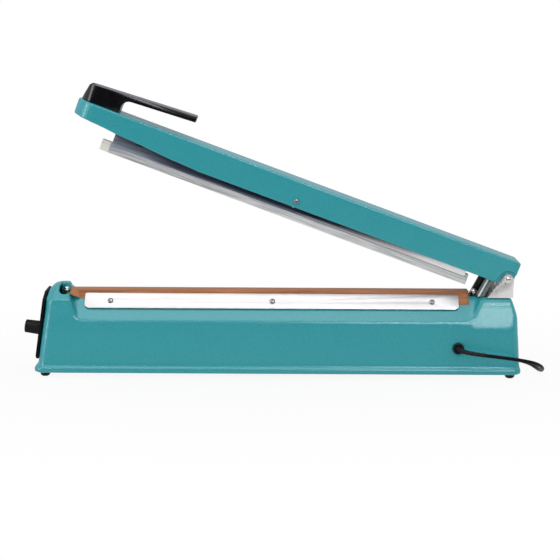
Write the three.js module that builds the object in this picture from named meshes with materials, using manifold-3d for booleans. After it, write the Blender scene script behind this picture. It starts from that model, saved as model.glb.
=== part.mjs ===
// Hand impulse bag sealer for a 400 mm seal, shown with its arm open.
// Sizes are in millimetres, angles in degrees. X runs along the base, Y to the back, Z up.
// The base is drawn about the middle of its flange, with Z zero on the table.
// The arm is drawn closed about its pivot, and then turned open.

import * as THREE from 'three';
import { mergeVertices } from 'three/addons/utils/BufferGeometryUtils.js';
import Module from 'manifold-3d';

const wasm = await Module();
wasm.setup();

// Clearances and cuts
const seatGap = 0.3;
const runGap = 0.5;
const overrun = 20;
const weldDistance = 0.0001;

// Facets
const rodSides = 14;
const screwSides = 12;
const springSides = 5;
const springSteps = 8;
const cornerSteps = 5;
const screwCrownShare = 0.6;

// Base casting
const footHeight = 5;
const flangeLength = 534;
const flangeWidth = 80;
const flangeCorner = 9;
const lipHeight = 8;
const lipProud = 3.2;
const lipRound = 1.4;
const castWall = 3;
const endClearLeft = 3.6;
const endClearRight = 1.2;
const leftLean = 7.7;
const bedTop = 93;
const ridgeDrop = 5;
const ridgeHalf = 8;
const slopeDrop = 26;
const shoulderInset = 8;
const humpRise = 5.5;
const humpCrown = 13.5;
const humpEdgeInset = 10;
const humpTopHalf = 13.5;
const humpRound = 7.5;
const blockDrop = 5.5;
const blockTopHalf = 19.5;
const blockFaceDrop = 9;
const blockFaceSpread = 5;
const blockFaceBelow = 6.5;
const rightBendDrop = 19.5;
const rightBendInset = 3;
const rightTopInset = 9.5;
const saddleLeftInset = 48.5;
const saddleRightInset = 56.5;
const flankLeftLean = 19;
const flankRightLean = 25;
const noseLean = 45;
const bossRadius = 5;
const bossHeight = 14;
const blockCorner = 4;
const crownShares = [[0.35, 0.42, 0.05], [0.68, 0.76, 0.25], [0.9, 0.93, 0.6], [1, 1, 1]];
const halfLength = flangeLength / 2;
const halfWidth = flangeWidth / 2;
const ridgeFoot = bedTop - ridgeDrop;
const shoulderBottom = ridgeFoot - slopeDrop;
const humpTop = bedTop + humpRise;
const humpEdge = humpTop - humpCrown;
const blockTop = bedTop - blockDrop;
const blockFaceTop = blockTop - blockFaceDrop;
const blockFaceTopHalf = blockTopHalf + blockFaceSpread;
const blockFaceBottom = shoulderBottom - blockFaceBelow;
const rightBendHeight = blockTop - rightBendDrop;
const shoulderHalf = halfWidth - shoulderInset;
const humpEdgeHalf = halfWidth - humpEdgeInset;
const saddleLeft = saddleLeftInset - halfLength;
const saddleRight = halfLength - saddleRightInset;

// Feet and bottom cover
const footRadius = 5.6;
const footInsetX = 11.5;
const footInsetY = 11.5;
const coverThickness = 1.2;
const coverInset = 3.2;
const screwRadius = 1.6;
const screwHeadRadius = 3;
const screwHeadHeight = 1.8;
const footRound = 0.6;
const footStem = 8;
const stemRadius = 1.9;

// End panel, knob and timer
const panelThickness = 3.2;
const panelBottom = 19;
const panelDrop = 6;
const panelFootInset = 9;
const panelEdgeInset = 3.5;
const panelTopSpread = 0.5;
const panelCorner = 3;
const windowInset = 20;
const windowBottom = 26;
const windowDrop = 14.5;
const knobPlaceShare = 0.381;
const knobRadius = 7.9;
const knobTipRadius = 7;
const knobLength = 18;
const knobRibs = 18;
const knobRibDepth = 0.45;
const shaftRadius = 3;
const bushRadius = 3.8;
const potRadius = 8.5;
const potDepth = 9;
const lampDrop = 20.5;
const lampRadius = 3.6;
const lampProud = 0.8;
const lampFlange = 0.6;
const lampLength = 14;
const boardThickness = 1.6;
const boardInset = 15;
const boardBottom = 31;
const boardDrop = 23.5;
const lowScrewRise = 3.5;
const highScrewDrop = 8.5;
const panelTop = humpTop - panelDrop;
const panelBottomHalf = halfWidth - panelFootInset;
const panelEdgeHalf = humpEdgeHalf - panelEdgeInset;
const panelTopHalf = humpTopHalf + panelTopSpread;
const windowTop = panelTop - windowDrop;
const windowHalf = halfWidth - windowInset;
const knobHeight = panelBottom + (panelTop - panelBottom) * knobPlaceShare;
const lampHeight = panelTop - lampDrop;
const boardHalf = halfWidth - boardInset;
const boardTop = panelTop - boardDrop;
const panelScrewHeights = [panelBottom + lowScrewRise, panelTop - highScrewDrop];

// Sealing bed
const clothThickness = 0.3;
const wireThickness = 0.3;
const wireWidth = 3;
const stripThickness = 1;
const stripWidth = 15;
const clothLeftInset = 1;
const clothRightInset = 0.2;
const clothReach = 12;
const flapHalf = 23.5;
const flapSide = 13;
const flapLow = 83.5;
const flapRise = 5;
const barLeftInset = 6.5;
const barRightInset = 12;
const barWidth = 19.4;
const barThickness = 1.5;
const barOffset = 0.8;
const barCorner = 5;
const barTopCorner = 2;
const barScrewLeft = 28;
const barScrewMiddle = -6.2;
const barScrewRight = 29.2;
const barScrewShare = 0.52;
const barHeadRadius = 2.9;
const barHeadHeight = 1.7;
const barScrewLength = 6;
const clothLeft = saddleLeft + clothLeftInset;
const clothRight = saddleRight - clothRightInset;
const barLeft = saddleLeft + barLeftInset;
const barRight = saddleRight - barRightInset;
const barScrewPlaces = [barLeft + barScrewLeft, barScrewMiddle, barRight - barScrewRight];

// Terminals
const leftTerminalReach = 15.5;
const rightTerminalReach = 6.3;
const terminalHead = 3;
const terminalWasher = 3.7;
const terminalHeadHeight = 3;
const washerThickness = 1;
const recessHalfWidth = 5.8;
const recessReach = 21.5;
const recessDepth = 12.3;
const eyeletRise = 3.2;
const grooveHalf = 2.6;
const leftBlockHeight = 8;
const leftBlockHalf = 6;
const rightBlockHalf = 3.9;
const rightBlockWidth = 10.6;
const rightBlockDepth = 17.5;
const rightEyeletRise = 1.9;
const leftTerminal = saddleLeft - leftTerminalReach;
const rightTerminal = saddleRight + rightTerminalReach;
const recessFloor = humpTop - recessDepth;
const eyeletHeight = recessFloor + eyeletRise;
const rightEyeletHeight = blockTop + rightEyeletRise;
const rightBlockBottom = blockTop - rightBlockDepth;

// Hinge
const pivotInset = 15.4;
const pivotRise = 20;
const openAngle = 20.2;
const earRadius = 6.5;
const earThickness = 2.2;
const earInner = 17.4;
const earFront = 21.9;
const earBack = 6;
const plateReach = 17.6;
const plateThickness = 1.6;
const pinRadius = 2.6;
const pinHeadRadius = 3.3;
const pinHeadHeight = 1.1;
const plateScrewReach = 6.6;
const plateScrewHalf = 9;
const pivotX = halfLength - pivotInset;
const pivotZ = blockTop + pivotRise;
const earFootLeft = pivotX - earFront;
const earFootRight = pivotX + earBack;
const plateLeft = pivotX - plateReach;
const plateScrewPlaces = [pivotX - plateScrewReach];

// Arm casting, measured from the pivot towards the handle
const armHalf = 20;
const armWall = 2.5;
const armTopWall = 3;
const armTop = 22.4;
const armEdge = -6.5;
const armTail = 6.5;
const armTip = 506;
const armRound = 1.8;
const armRise = [[149, -6.5], [111, -4.3], [78, -1.2], [51, 0.6], [36, 2.4], [0, 5.2]]
  .map(([inset, rise]) => [armTip - inset, rise]);
const recessRadius = 10;
const recessFoot = 22;
const recessHalf = 16.9;

// Handle
const handleHalf = 13.5;
const handleTipInset = 3;
const handleFootLength = 43.5;
const gripReach = 80.5;
const handleTopTip = 41.2;
const handleTopEnd = 47.4;
const gripThickness = 6;
const archRadius = 9;
const handleLean = 4;
const handleRound = 1;
const handleScrewInsets = [11, 33];
const handleTip = armTip - handleTipInset;
const handleFoot = handleTip - handleFootLength;
const handleEnd = handleFoot - gripReach;
const handleScrewPlaces = handleScrewInsets.map((inset) => handleTip - inset);

// Pressure bar
const floatTravel = 8.5;
const barFar = 456;
const barNear = 44;
const siliconeFar = 467;
const siliconeNear = 40;
const siliconeHeight = 11.4;
const siliconeShown = 8.4;
const carrierHeight = 18.4;
const carrierHalf = 6.3;
const carrierWall = 1.2;
const webThickness = 1.2;
const crossPin = 247.4;
const crossPinRise = 0.4;
const crossPinRadius = 1.6;
const crossHeadRadius = 2.7;
const crossHeadHeight = 1.5;
const lugHalf = 9;
const lugRise = 5.5;
const tabStart = 431;
const tabRise = 8;
const barSpringPlaces = [130, 370];
const barSpringRadius = 3.6;
const barSpringWire = 0.9;
const barSpringTurns = 7;

// Lift spring, its sleeve and the switch rod
const sleeveLean = 27.8;
const sleeveReach = 26.9;
const sleeveY = -7;
const sleeveRadius = 5.9;
const sleeveBore = 4.7;
const sleeveLength = 22;
const liftSpringRadius = 3.6;
const liftSpringWire = 1.3;
const liftSpringTurns = 9;
const liftPadRadius = 4.6;
const liftPadPlace = 14;
const liftPadDrop = 9.4;
const rodY = 9;
const rodReach = 33.9;
const rodRadius = 4.4;
const rodTopRise = 6.5;
const rodLength = 38;
const rodTravel = 4;
const pusherRadius = 3.5;
const pusherPlace = 20.2;
const pusherDrop = 4.6;
const switchLength = 20;
const switchButtonShare = 0.2;
const switchPlateThickness = 1.2;
const switchDepth = 6.4;
const switchHeight = 10.5;
const buttonHeight = 0.9;
const sleeveFoot = pivotX - sleeveReach;
const rodFoot = pivotX - rodReach;
const rodTopHeight = pivotZ + rodTopRise;

// Transformer
const coreMiddle = -88;
const coreLength = 66;
const coreInset = 21;
const coreDrop = 8;
const coreLimbShare = 1 / 6;
const coreTongueShare = 1 / 3;
const strapThickness = 1.5;
const strapWidth = 16;
const strapFoot = 12;
const windingProud = 5;
const coreLimb = coreLength * coreLimbShare;
const coreTongue = coreLength * coreTongueShare;
const coreHalf = halfWidth - coreInset;
const coreHeight = shoulderBottom - coreDrop;

// Leads inside the base
const leadRadius = 1.3;
const leadSteps = 22;
const leadSides = 6;
const leadRise = [[12, -2.5, 0.1], [15, -2.5, 6.5]];
const leadOver = [[-5, -1.8, 1.3], [21, 9.5, 7.5]];
const leadLeftDrop = [[24, 0, -6.9], [6, 0, -7.4], [0.6, 0, -4.4], [0, 0, -0.7]];
const leadRightDrop = [[-26.8, 0, -3.5], [-8.8, 0, -7.4], [-1.2, 0, -5.4], [0, 0, -0.6]];
const leadCrestRise = 9.5;
const leadCrestShares = [0.33, 0.72];

// Cord
const glandInset = 69.7;
const glandZ = 34.2;
const glandRadius = 6.15;
const glandProud = 3;
const glandBore = 3.4;
const glandNeck = 4.6;
const glandLip = 0.3;
const glandRound = 1;
const reliefStart = 3.1;
const reliefEnd = 2.2;
const reliefSteps = 14;
const cordDiameter = 4;
const reliefRoute = [[0, 6.6, 34.1], [0, 1.6, 34.6], [0.3, -3.6, 35], [2.7, -10.6, 35.1],
  [8.7, -16.6, 34.7], [16.7, -19, 33.9], [26.7, -19.2, 32.5]];
const frontRoute = [[27.1, -19.2, 32.4], [31.7, -19.2, 31.9], [42.7, -19.3, 30.6], [56.7, -18.9, 28.6],
  [68.7, -16.6, 26.2], [79.7, -11, 22.6], [88.3, -2.4, 17.6], [93.5, 9, 11.8], [95.3, 22, 6.4],
  [95.1, 36, 3.2]];
const rearRoute = [[93.7, -30, 2.2], [91.1, -18, 2.2], [86.1, -6.4, 2.2], [77.7, 3.4, 2.2],
  [66.5, 9.6, 2.3], [53.7, 11.8, 2.7], [40.7, 12, 3], [26.7, 12, 3.1], [14.7, 12, 3.1], [6.7, 12, 3.1]];
const cordSteps = 40;
const cordSides = 8;
const coilReach = 2.4;
const coilBehind = 42.35;
const coilInner = 17;
const coilPitch = 4.45;
const coilRise = 4.5;
const coilTurns = 3;
const coilHeight = 3.1;
const coilInnerShare = 0.25;
const coilRiseShare = 0.5;
const loopSteps = 24;
const loopSides = 6;
const tieWidth = 6;
const tieThickness = 0.7;
const plugLength = 36;
const plugWidth = 26;
const plugThickness = 14.4;
const plugRound = 2;
const plugNeckShare = 0.4;
const plugSleeve = 0.8;
const plugNeck = 14;
const plugPinLength = 19;
const plugPinRadius = 2;
const plugPinHalf = 9.5;
const glandX = halfLength - glandInset;
const coilMiddle = [glandX + coilReach, halfWidth + coilBehind];

// Finishes
const finishes = {
  teal: { color: 0x3b949c, roughness: 0.35, metalness: 0.1 },
  black: { color: 0x121214, roughness: 0.45, metalness: 0 },
  rubber: { color: 0x161616, roughness: 0.85, metalness: 0 },
  steel: { color: 0xb9bcc0, roughness: 0.3, metalness: 1 },
  plate: { color: 0xf0f0ee, roughness: 0.35, metalness: 0.6 },
  darkSteel: { color: 0x6a7178, roughness: 0.35, metalness: 1 },
  sleeve: { color: 0x8a9690, roughness: 0.4, metalness: 0.6 },
  cloth: { color: 0xb47a5a, roughness: 0.45, metalness: 0 },
  silicone: { color: 0xcfd2d4, roughness: 0.5, metalness: 0 },
  bakelite: { color: 0x2a1c16, roughness: 0.5, metalness: 0 },
  copper: { color: 0xb06a3a, roughness: 0.4, metalness: 0.9 },
  board: { color: 0x2f6b3a, roughness: 0.5, metalness: 0 },
  red: { color: 0xc0281e, roughness: 0.2, metalness: 0 },
};

// Helpers for places and outlines
const radians = THREE.MathUtils.degToRad;
const tangent = (angle) => Math.tan(radians(angle));
const mid = (a, b) => (a + b) / 2;

function arc(x, y, radius, from, to, steps) {
  const points = [];
  for (let step = 0; step <= steps; step += 1) {
    const angle = radians(from + ((to - from) * step) / steps);
    points.push([x + radius * Math.cos(angle), y + radius * Math.sin(angle)]);
  }
  return points;
}

function ring(x, y, radius, sides) {
  return arc(x, y, radius, 0, 360, sides).slice(0, sides);
}

// Moves an open line sideways, to its left for a positive distance, with mitred corners.
function offsetLine(points, distance) {
  return points.map(([x, y], index) => {
    const before = points[Math.max(index - 1, 0)];
    const after = points[Math.min(index + 1, points.length - 1)];
    const inward = new THREE.Vector2(x - before[0], y - before[1]);
    const outward = new THREE.Vector2(after[0] - x, after[1] - y);
    if (inward.length() === 0) inward.copy(outward);
    if (outward.length() === 0) outward.copy(inward);
    inward.normalize();
    outward.normalize();
    const side = new THREE.Vector2(-inward.y - outward.y, inward.x + outward.x).normalize();
    const stretch = distance / (side.x * -inward.y + side.y * inward.x);
    return [x + side.x * stretch, y + side.y * stretch];
  });
}

function band(points, from, to) {
  return [...offsetLine(points, from), ...offsetLine(points, to).reverse()];
}

function shapeOf(points) {
  const area = THREE.ShapeUtils.area(points.map(([x, y]) => new THREE.Vector2(x, y)));
  const ordered = area < 0 ? [...points].reverse() : points;
  return new THREE.Shape(ordered.map(([x, y]) => new THREE.Vector2(x, y)));
}

// Helpers for solids
function toSolid(geometry) {
  const bare = geometry.clone();
  bare.deleteAttribute('normal');
  bare.deleteAttribute('uv');
  const merged = mergeVertices(bare, weldDistance);
  const mesh = new wasm.Mesh({
    numProp: 3,
    vertProperties: new Float32Array(merged.attributes.position.array),
    triVerts: new Uint32Array(merged.index.array),
  });
  return new wasm.Manifold(mesh);
}

function toGeometry(solid) {
  const mesh = solid.getMesh();
  const geometry = new THREE.BufferGeometry();
  geometry.setAttribute('position', new THREE.BufferAttribute(new Float32Array(mesh.vertProperties), 3));
  geometry.setIndex(new THREE.BufferAttribute(new Uint32Array(mesh.triVerts), 1));
  geometry.computeVertexNormals();
  return geometry;
}

function joined(solids) {
  return solids.reduce((sum, solid) => sum.add(solid));
}

function cut(solid, cutters) {
  return cutters.reduce((rest, cutter) => rest.subtract(cutter), solid);
}

function box(x0, x1, y0, y1, z0, z1) {
  const geometry = new THREE.BoxGeometry(x1 - x0, y1 - y0, z1 - z0);
  geometry.translate(mid(x0, x1), mid(y0, y1), mid(z0, z1));
  return toSolid(geometry);
}

// A prism whose outline lies in YZ, XZ or XY, running along the third axis.
function prismX(outline, x0, x1) {
  const geometry = new THREE.ExtrudeGeometry(shapeOf(outline), { depth: x1 - x0, bevelEnabled: false });
  const turn = new THREE.Matrix4().makeBasis(
    new THREE.Vector3(0, 1, 0), new THREE.Vector3(0, 0, 1), new THREE.Vector3(1, 0, 0));
  geometry.applyMatrix4(turn);
  geometry.translate(x0, 0, 0);
  return toSolid(geometry);
}

function prismY(outline, y0, y1) {
  const geometry = new THREE.ExtrudeGeometry(shapeOf(outline), { depth: y1 - y0, bevelEnabled: false });
  const turn = new THREE.Matrix4().makeBasis(
    new THREE.Vector3(1, 0, 0), new THREE.Vector3(0, 0, 1), new THREE.Vector3(0, -1, 0));
  geometry.applyMatrix4(turn);
  geometry.translate(0, y1, 0);
  return toSolid(geometry);
}

function prismZ(outline, z0, z1, round = 0, roundSteps = 3) {
  const settings = { depth: z1 - z0, bevelEnabled: false };
  if (round > 0) {
    settings.bevelEnabled = true;
    settings.depth = z1 - z0 - round - round;
    settings.bevelThickness = round;
    settings.bevelSize = round;
    settings.bevelOffset = -round;
    settings.bevelSegments = roundSteps;
  }
  const geometry = new THREE.ExtrudeGeometry(shapeOf(outline), settings);
  geometry.translate(0, 0, z0 + round);
  return toSolid(geometry);
}

function latheZ(profile, sides) {
  const points = profile.map(([radius, height]) => new THREE.Vector2(radius, height));
  const geometry = new THREE.LatheGeometry(points, sides);
  geometry.rotateX(Math.PI / 2);
  return toSolid(geometry);
}

function rodZ(radius, z0, z1, sides = rodSides) {
  return latheZ([[0, z0], [radius, z0], [radius, z1], [0, z1]], sides);
}

// A pan-head screw along Z: its seat is at zero, the head above it and the shank below.
function screwZ(headRadius, headHeight, shankRadius, length) {
  const rim = headHeight / 2;
  const crown = headRadius * screwCrownShare;
  return latheZ([[0, -length], [shankRadius, -length], [shankRadius, 0], [headRadius, 0],
    [headRadius, rim], [crown, headHeight], [0, headHeight]], screwSides);
}

function placed(solid, x, y, z) {
  return solid.translate([x, y, z]);
}

// Skins a row of rings of points, each with the same count, into one closed tube or loft.
function skin(rings) {
  const count = rings[0].length;
  const positions = [];
  rings.forEach((points) => points.forEach((point) => positions.push(point.x, point.y, point.z)));
  const faces = [];
  for (let row = 0; row < rings.length - 1; row += 1) {
    for (let side = 0; side < count; side += 1) {
      const next = (side + 1) % count;
      const a = row * count + side;
      const b = row * count + next;
      faces.push(a, b, b + count, a, b + count, a + count);
    }
  }
  [0, rings.length - 1].forEach((row, end) => {
    const middle = positions.length / 3;
    const centre = new THREE.Vector3();
    rings[row].forEach((point) => centre.addScaledVector(point, 1 / count));
    positions.push(centre.x, centre.y, centre.z);
    for (let side = 0; side < count; side += 1) {
      const a = row * count + side;
      const b = row * count + ((side + 1) % count);
      if (end === 0) faces.push(middle, b, a);
      else faces.push(middle, a, b);
    }
  });
  const geometry = new THREE.BufferGeometry();
  geometry.setAttribute('position', new THREE.Float32BufferAttribute(positions, 3));
  geometry.setIndex(faces);
  geometry.computeVertexNormals();
  return geometry;
}

// One round section of a wound tube, square to its path.
function section(centre, across, up, radius, sides) {
  const points = [];
  for (let side = 0; side < sides; side += 1) {
    const angle = (side / sides) * 2 * Math.PI;
    const point = centre.clone();
    point.addScaledVector(across, radius * Math.cos(angle));
    point.addScaledVector(up, radius * Math.sin(angle));
    points.push(point);
  }
  return points;
}

// A coil spring up the Z axis from zero.
function springZ(radius, wire, turns, length) {
  const rings = [];
  const up = new THREE.Vector3(0, 0, 1);
  for (let step = 0; step <= turns * springSteps; step += 1) {
    const angle = (step / springSteps) * 2 * Math.PI;
    const height = wire / 2 + ((length - wire) * step) / (turns * springSteps);
    const outward = new THREE.Vector3(Math.cos(angle), Math.sin(angle), 0);
    const centre = outward.clone().multiplyScalar(radius).setZ(height);
    rings.push(section(centre, outward, up, wire / 2, springSides).reverse());
  }
  return skin(rings);
}

// The part as a tree of groups
const part = new THREE.Group();
const base = new THREE.Group();
const wall = new THREE.Group();
const arm = new THREE.Group();
const bar = new THREE.Group();
const slope = new THREE.Group();
const rearSlope = new THREE.Group();
part.add(base);
base.add(wall, arm, slope, rearSlope);
arm.add(bar);

function add(group, name, shape, finish) {
  const geometry = shape.isBufferGeometry ? shape : toGeometry(shape);
  const mesh = new THREE.Mesh(geometry, new THREE.MeshStandardMaterial(finishes[finish]));
  mesh.name = name;
  group.add(mesh);
  return mesh;
}

function addEach(group, name, shapes, finish) {
  shapes.forEach((shape, index) => add(group, `${name}_${index + 1}`, shape, finish));
}

// The arm turns about the pivot. The bar hangs from it by its float travel.
arm.position.set(pivotX, 0, pivotZ);
arm.rotation.y = radians(openAngle);
bar.position.z = -floatTravel;

// The left end wall leans in, and what it carries is drawn on it: X zero on the casting,
// minus X outwards, and Z up the wall from the table.
const wallFoot = halfLength - endClearLeft;
const lipTop = footHeight + lipHeight;
wall.position.set(-wallFoot - lipTop * tangent(leftLean), 0, 0);
wall.rotation.y = radians(leftLean);

// The shoulder slopes carry the clamp bars: X along the base, Y up the slope from its lower edge,
// Z square out of it.
const slopeAngle = Math.atan2(ridgeFoot - shoulderBottom, shoulderHalf - ridgeHalf);
const slopeLength = Math.hypot(ridgeFoot - shoulderBottom, shoulderHalf - ridgeHalf);
slope.position.set(0, -shoulderHalf, shoulderBottom);
slope.rotation.x = slopeAngle;
rearSlope.position.set(0, shoulderHalf, shoulderBottom);
rearSlope.rotation.set(slopeAngle, 0, Math.PI, 'ZXY');

// Turns a solid drawn in one of the groups into the base's own frame, for cutting.
function inBase(solid, group) {
  group.updateMatrix();
  return solid.transform(group.matrix.toArray());
}

// Base casting: the sides and ends as functions of height
function sideHalf(z) {
  const lipHalf = halfWidth - lipProud;
  if (z <= lipTop) return lipHalf;
  return lipHalf + ((shoulderHalf - lipHalf) * (z - lipTop)) / (shoulderBottom - lipTop);
}

function leftEnd(z) {
  return -wallFoot + (z - lipTop) * tangent(leftLean);
}

function rightEnd(z) {
  const foot = halfLength - endClearRight;
  if (z <= rightBendHeight) return foot - (rightBendInset * (z - lipTop)) / (rightBendHeight - lipTop);
  const share = (z - rightBendHeight) / (blockTop - rightBendHeight);
  return foot - rightBendInset - (rightTopInset - rightBendInset) * share;
}

function roundedRing(left, right, halfY, radius, z) {
  const points = [];
  const corners = [[right - radius, halfY - radius, 0], [left + radius, halfY - radius, 90],
    [left + radius, radius - halfY, 180], [right - radius, radius - halfY, 270]];
  corners.forEach(([x, y, from]) => {
    arc(x, y, radius, from, from + 90, cornerSteps).forEach(([px, py]) => {
      points.push(new THREE.Vector3(px, py, z));
    });
  });
  return points;
}

// The full block before the saddle is taken out of it, or its hollow when inset by a wall.
function block(inset) {
  const floor = inset > 0 ? -overrun : footHeight;
  const rings = [];
  const wallRing = (z, halfY, left, right) => {
    const radius = Math.max(flangeCorner - inset, flangeCorner / 2);
    rings.push(roundedRing(left + inset, right - inset, halfY - inset, Math.min(radius, halfY - inset), z));
  };
  if (inset > 0) {
    wallRing(floor, sideHalf(lipTop), leftEnd(lipTop), rightEnd(lipTop));
  } else {
    wallRing(floor, halfWidth - lipRound, lipRound - halfLength, halfLength - lipRound);
    wallRing(floor + lipRound, halfWidth, -halfLength, halfLength);
    wallRing(lipTop - lipRound - lipRound, halfWidth, -halfLength, halfLength);
    wallRing(lipTop - lipRound, halfWidth - lipRound / 2, lipRound / 2 - halfLength,
      halfLength - lipRound / 2);
    wallRing(lipTop - lipRound / 2, sideHalf(lipTop) + lipRound / 2, leftEnd(lipTop) - lipRound / 2,
      rightEnd(lipTop) + lipRound / 2);
  }
  wallRing(lipTop, sideHalf(lipTop), leftEnd(lipTop), rightEnd(lipTop));
  wallRing(shoulderBottom, sideHalf(shoulderBottom), leftEnd(shoulderBottom), rightEnd(shoulderBottom));
  wallRing(rightBendHeight, mid(sideHalf(shoulderBottom), humpEdgeHalf), leftEnd(rightBendHeight),
    rightEnd(rightBendHeight));
  wallRing(humpEdge, humpEdgeHalf, leftEnd(humpEdge), rightEnd(humpEdge));
  crownShares.forEach(([rise, narrowing, pulled]) => {
    const z = humpEdge + (humpTop - humpEdge) * rise;
    const halfY = humpEdgeHalf + (humpTopHalf - humpEdgeHalf) * narrowing;
    wallRing(z - inset, halfY, leftEnd(z) + humpRound * pulled, rightEnd(blockTop));
  });
  return toSolid(skin(rings));
}

// The saddle between the humps: outside the ridge and shoulders, and between two sloping flanks.
const bedStack = clothThickness + seatGap + wireThickness + seatGap + stripThickness + seatGap;
const ridgeTop = bedTop - bedStack;
const shoulderLine = [[-shoulderHalf, shoulderBottom], [-ridgeHalf, ridgeFoot], [-ridgeHalf, ridgeTop],
  [ridgeHalf, ridgeTop], [ridgeHalf, ridgeFoot], [shoulderHalf, shoulderBottom]];

function saddle(inset) {
  const line = offsetLine(shoulderLine, -inset);
  const top = humpTop + overrun;
  const outside = flangeWidth;
  const run = (outside - shoulderHalf) * tangent(45);
  const first = line[0];
  const last = line[line.length - 1];
  const section = [[-outside, first[1] - run], ...line, [outside, last[1] - run], [outside, top],
    [-outside, top]];
  const rise = top - shoulderBottom;
  const left = saddleLeft - inset;
  const right = saddleRight + inset;
  const between = [[left, shoulderBottom], [left + run * tangent(flankLeftLean), shoulderBottom - run],
    [right - run * tangent(flankRightLean), shoulderBottom - run], [right, shoulderBottom],
    [right + rise * tangent(flankRightLean), top], [left - rise * tangent(flankLeftLean), top]];
  const long = prismX(section, left - outside * 2, right + outside * 2);
  return long.intersect(prismY(between, -outside, outside));
}

// Right of the saddle the block is lower and has sloping faces of its own.
function blockShave(inset) {
  const front = [[-sideHalf(blockFaceBottom), blockFaceBottom], [-blockFaceTopHalf, blockFaceTop],
    [-blockTopHalf - blockCorner / 4, blockTop - blockCorner / 2],
    [-blockTopHalf + blockCorner / 2, blockTop]];
  const line = offsetLine([...front, ...front.map(([y, z]) => [-y, z]).reverse()], -inset);
  const top = humpTop + overrun;
  const outside = flangeWidth;
  const section = [[-outside, line[0][1]], ...line, [outside, line[0][1]], [outside, top], [-outside, top]];
  return prismX(section, saddleRight + inset, flangeLength);
}

function nose() {
  const top = humpTop + overrun;
  const drop = (top - ridgeTop) * tangent(noseLean);
  const wedge = [[clothLeft, ridgeTop], [clothLeft - drop, top], [saddleRight + drop, top],
    [saddleRight + drop, ridgeTop]];
  return prismY(wedge, -ridgeHalf - castWall, ridgeHalf + castWall);
}

function terminalRecess() {
  const reach = recessReach - recessHalfWidth;
  const outline = [...arc(leftTerminal, reach, recessHalfWidth, 0, 180, 10),
    ...arc(leftTerminal, -reach, recessHalfWidth, 180, 360, 10)];
  return prismZ(outline, recessFloor, humpTop + overrun);
}

const footPlaces = [];
[-1, 1].forEach((sideX) => {
  [-1, 1].forEach((sideY) => {
    footPlaces.push([sideX * (halfLength - footInsetX), sideY * (halfWidth - footInsetY)]);
  });
});

// Clamp bar screws, in the frame of a slope
const barScrewUp = slopeLength - barWidth * barScrewShare;
const slopeHoles = joined(barScrewPlaces.map((x) => placed(
  rodZ(screwRadius + seatGap, -overrun / 2, overrun / 2), x, barScrewUp, 0)));

// The rear slope faces the other way, so what lies on it is drawn in a mirror.
function rearward(solid) {
  return solid.mirror([1, 0, 0]);
}

function leaning(solid, footX, y) {
  return solid.rotate([0, sleeveLean, 0]).translate([footX, y, blockTop + seatGap]);
}

// The front face leans back by its draft, and the gland sits square on it.
const frontDraft = THREE.MathUtils.radToDeg(
  Math.atan2(sideHalf(lipTop) - shoulderHalf, shoulderBottom - lipTop));
function outwards(solid) {
  return solid.rotate([90 - frontDraft, 0, 0]).translate([glandX, -sideHalf(glandZ), glandZ]);
}

// The outside of the casting, before its hollow and its holes
const castForm = cut(block(0), [saddle(0), blockShave(0), nose()]);

function makeHousing() {
  const hollow = cut(block(castWall), [saddle(castWall), blockShave(castWall),
    box(-flangeLength, flangeLength, -flangeWidth, flangeWidth, ridgeTop - castWall, humpTop + overrun)
      .subtract(box(-flangeLength, saddleLeft - castWall * 2, -flangeWidth, flangeWidth, 0, humpTop))]);
  let housing = castForm.subtract(hollow);
  const bosses = footPlaces.map(([x, y]) => placed(
    rodZ(bossRadius, footHeight, footHeight + bossHeight), x, y, 0));
  housing = joined([housing, ...bosses]);
  const rebateX = halfLength - coverInset + seatGap;
  const rebateY = halfWidth - coverInset + seatGap;
  const rebate = box(-rebateX, rebateX, -rebateY, rebateY, 0, footHeight + coverThickness + seatGap);
  const bossHoles = footPlaces.map(([x, y]) => placed(
    rodZ(stemRadius + seatGap, 0, footHeight + bossHeight - castWall), x, y, 0));
  const glandHole = outwards(rodZ(glandNeck + seatGap, -overrun, overrun, 20));
  const window = box(-overrun, overrun, -windowHalf, windowHalf, windowBottom, windowTop);
  const panelHoles = panelScrewHeights.map((z) => alongWall(
    rodZ(screwRadius + seatGap, -overrun, overrun), 0, z));
  const groove = box(leftTerminal, clothLeft + overrun / 2, -grooveHalf, grooveHalf,
    eyeletHeight - seatGap - seatGap, humpTop + overrun);
  const notch = box(saddleRight, rightTerminal + rightBlockWidth / 2 + seatGap, -rightBlockHalf - seatGap,
    rightBlockHalf + seatGap, rightBlockBottom - overrun, humpTop);
  const post = placed(rodZ(screwRadius + seatGap, rightBlockBottom - overrun, humpTop), leftTerminal, 0, 0);
  const rodHole = leaning(rodZ(rodRadius + runGap, -overrun, overrun), rodFoot, rodY);
  const plateHoles = plateScrewPlaces.flatMap((x) => [-1, 1].map((side) => placed(
    rodZ(screwRadius + seatGap, blockTop - overrun, blockTop + overrun), x, side * plateScrewHalf, 0)));
  const ridgeEnd = box(saddleRight - seatGap, saddleRight + overrun, -ridgeHalf - castWall,
    ridgeHalf + castWall, blockTop, humpTop + overrun);
  return cut(housing, [rebate, ...bossHoles, glandHole, inBase(window, wall),
    ...panelHoles.map((hole) => inBase(hole, wall)), groove, notch, post, rodHole, ...plateHoles,
    inBase(slopeHoles, slope), inBase(rearward(slopeHoles), rearSlope),
    terminalRecess(), ridgeEnd]);
}

add(base, 'base_housing', makeHousing(), 'teal');

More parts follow.
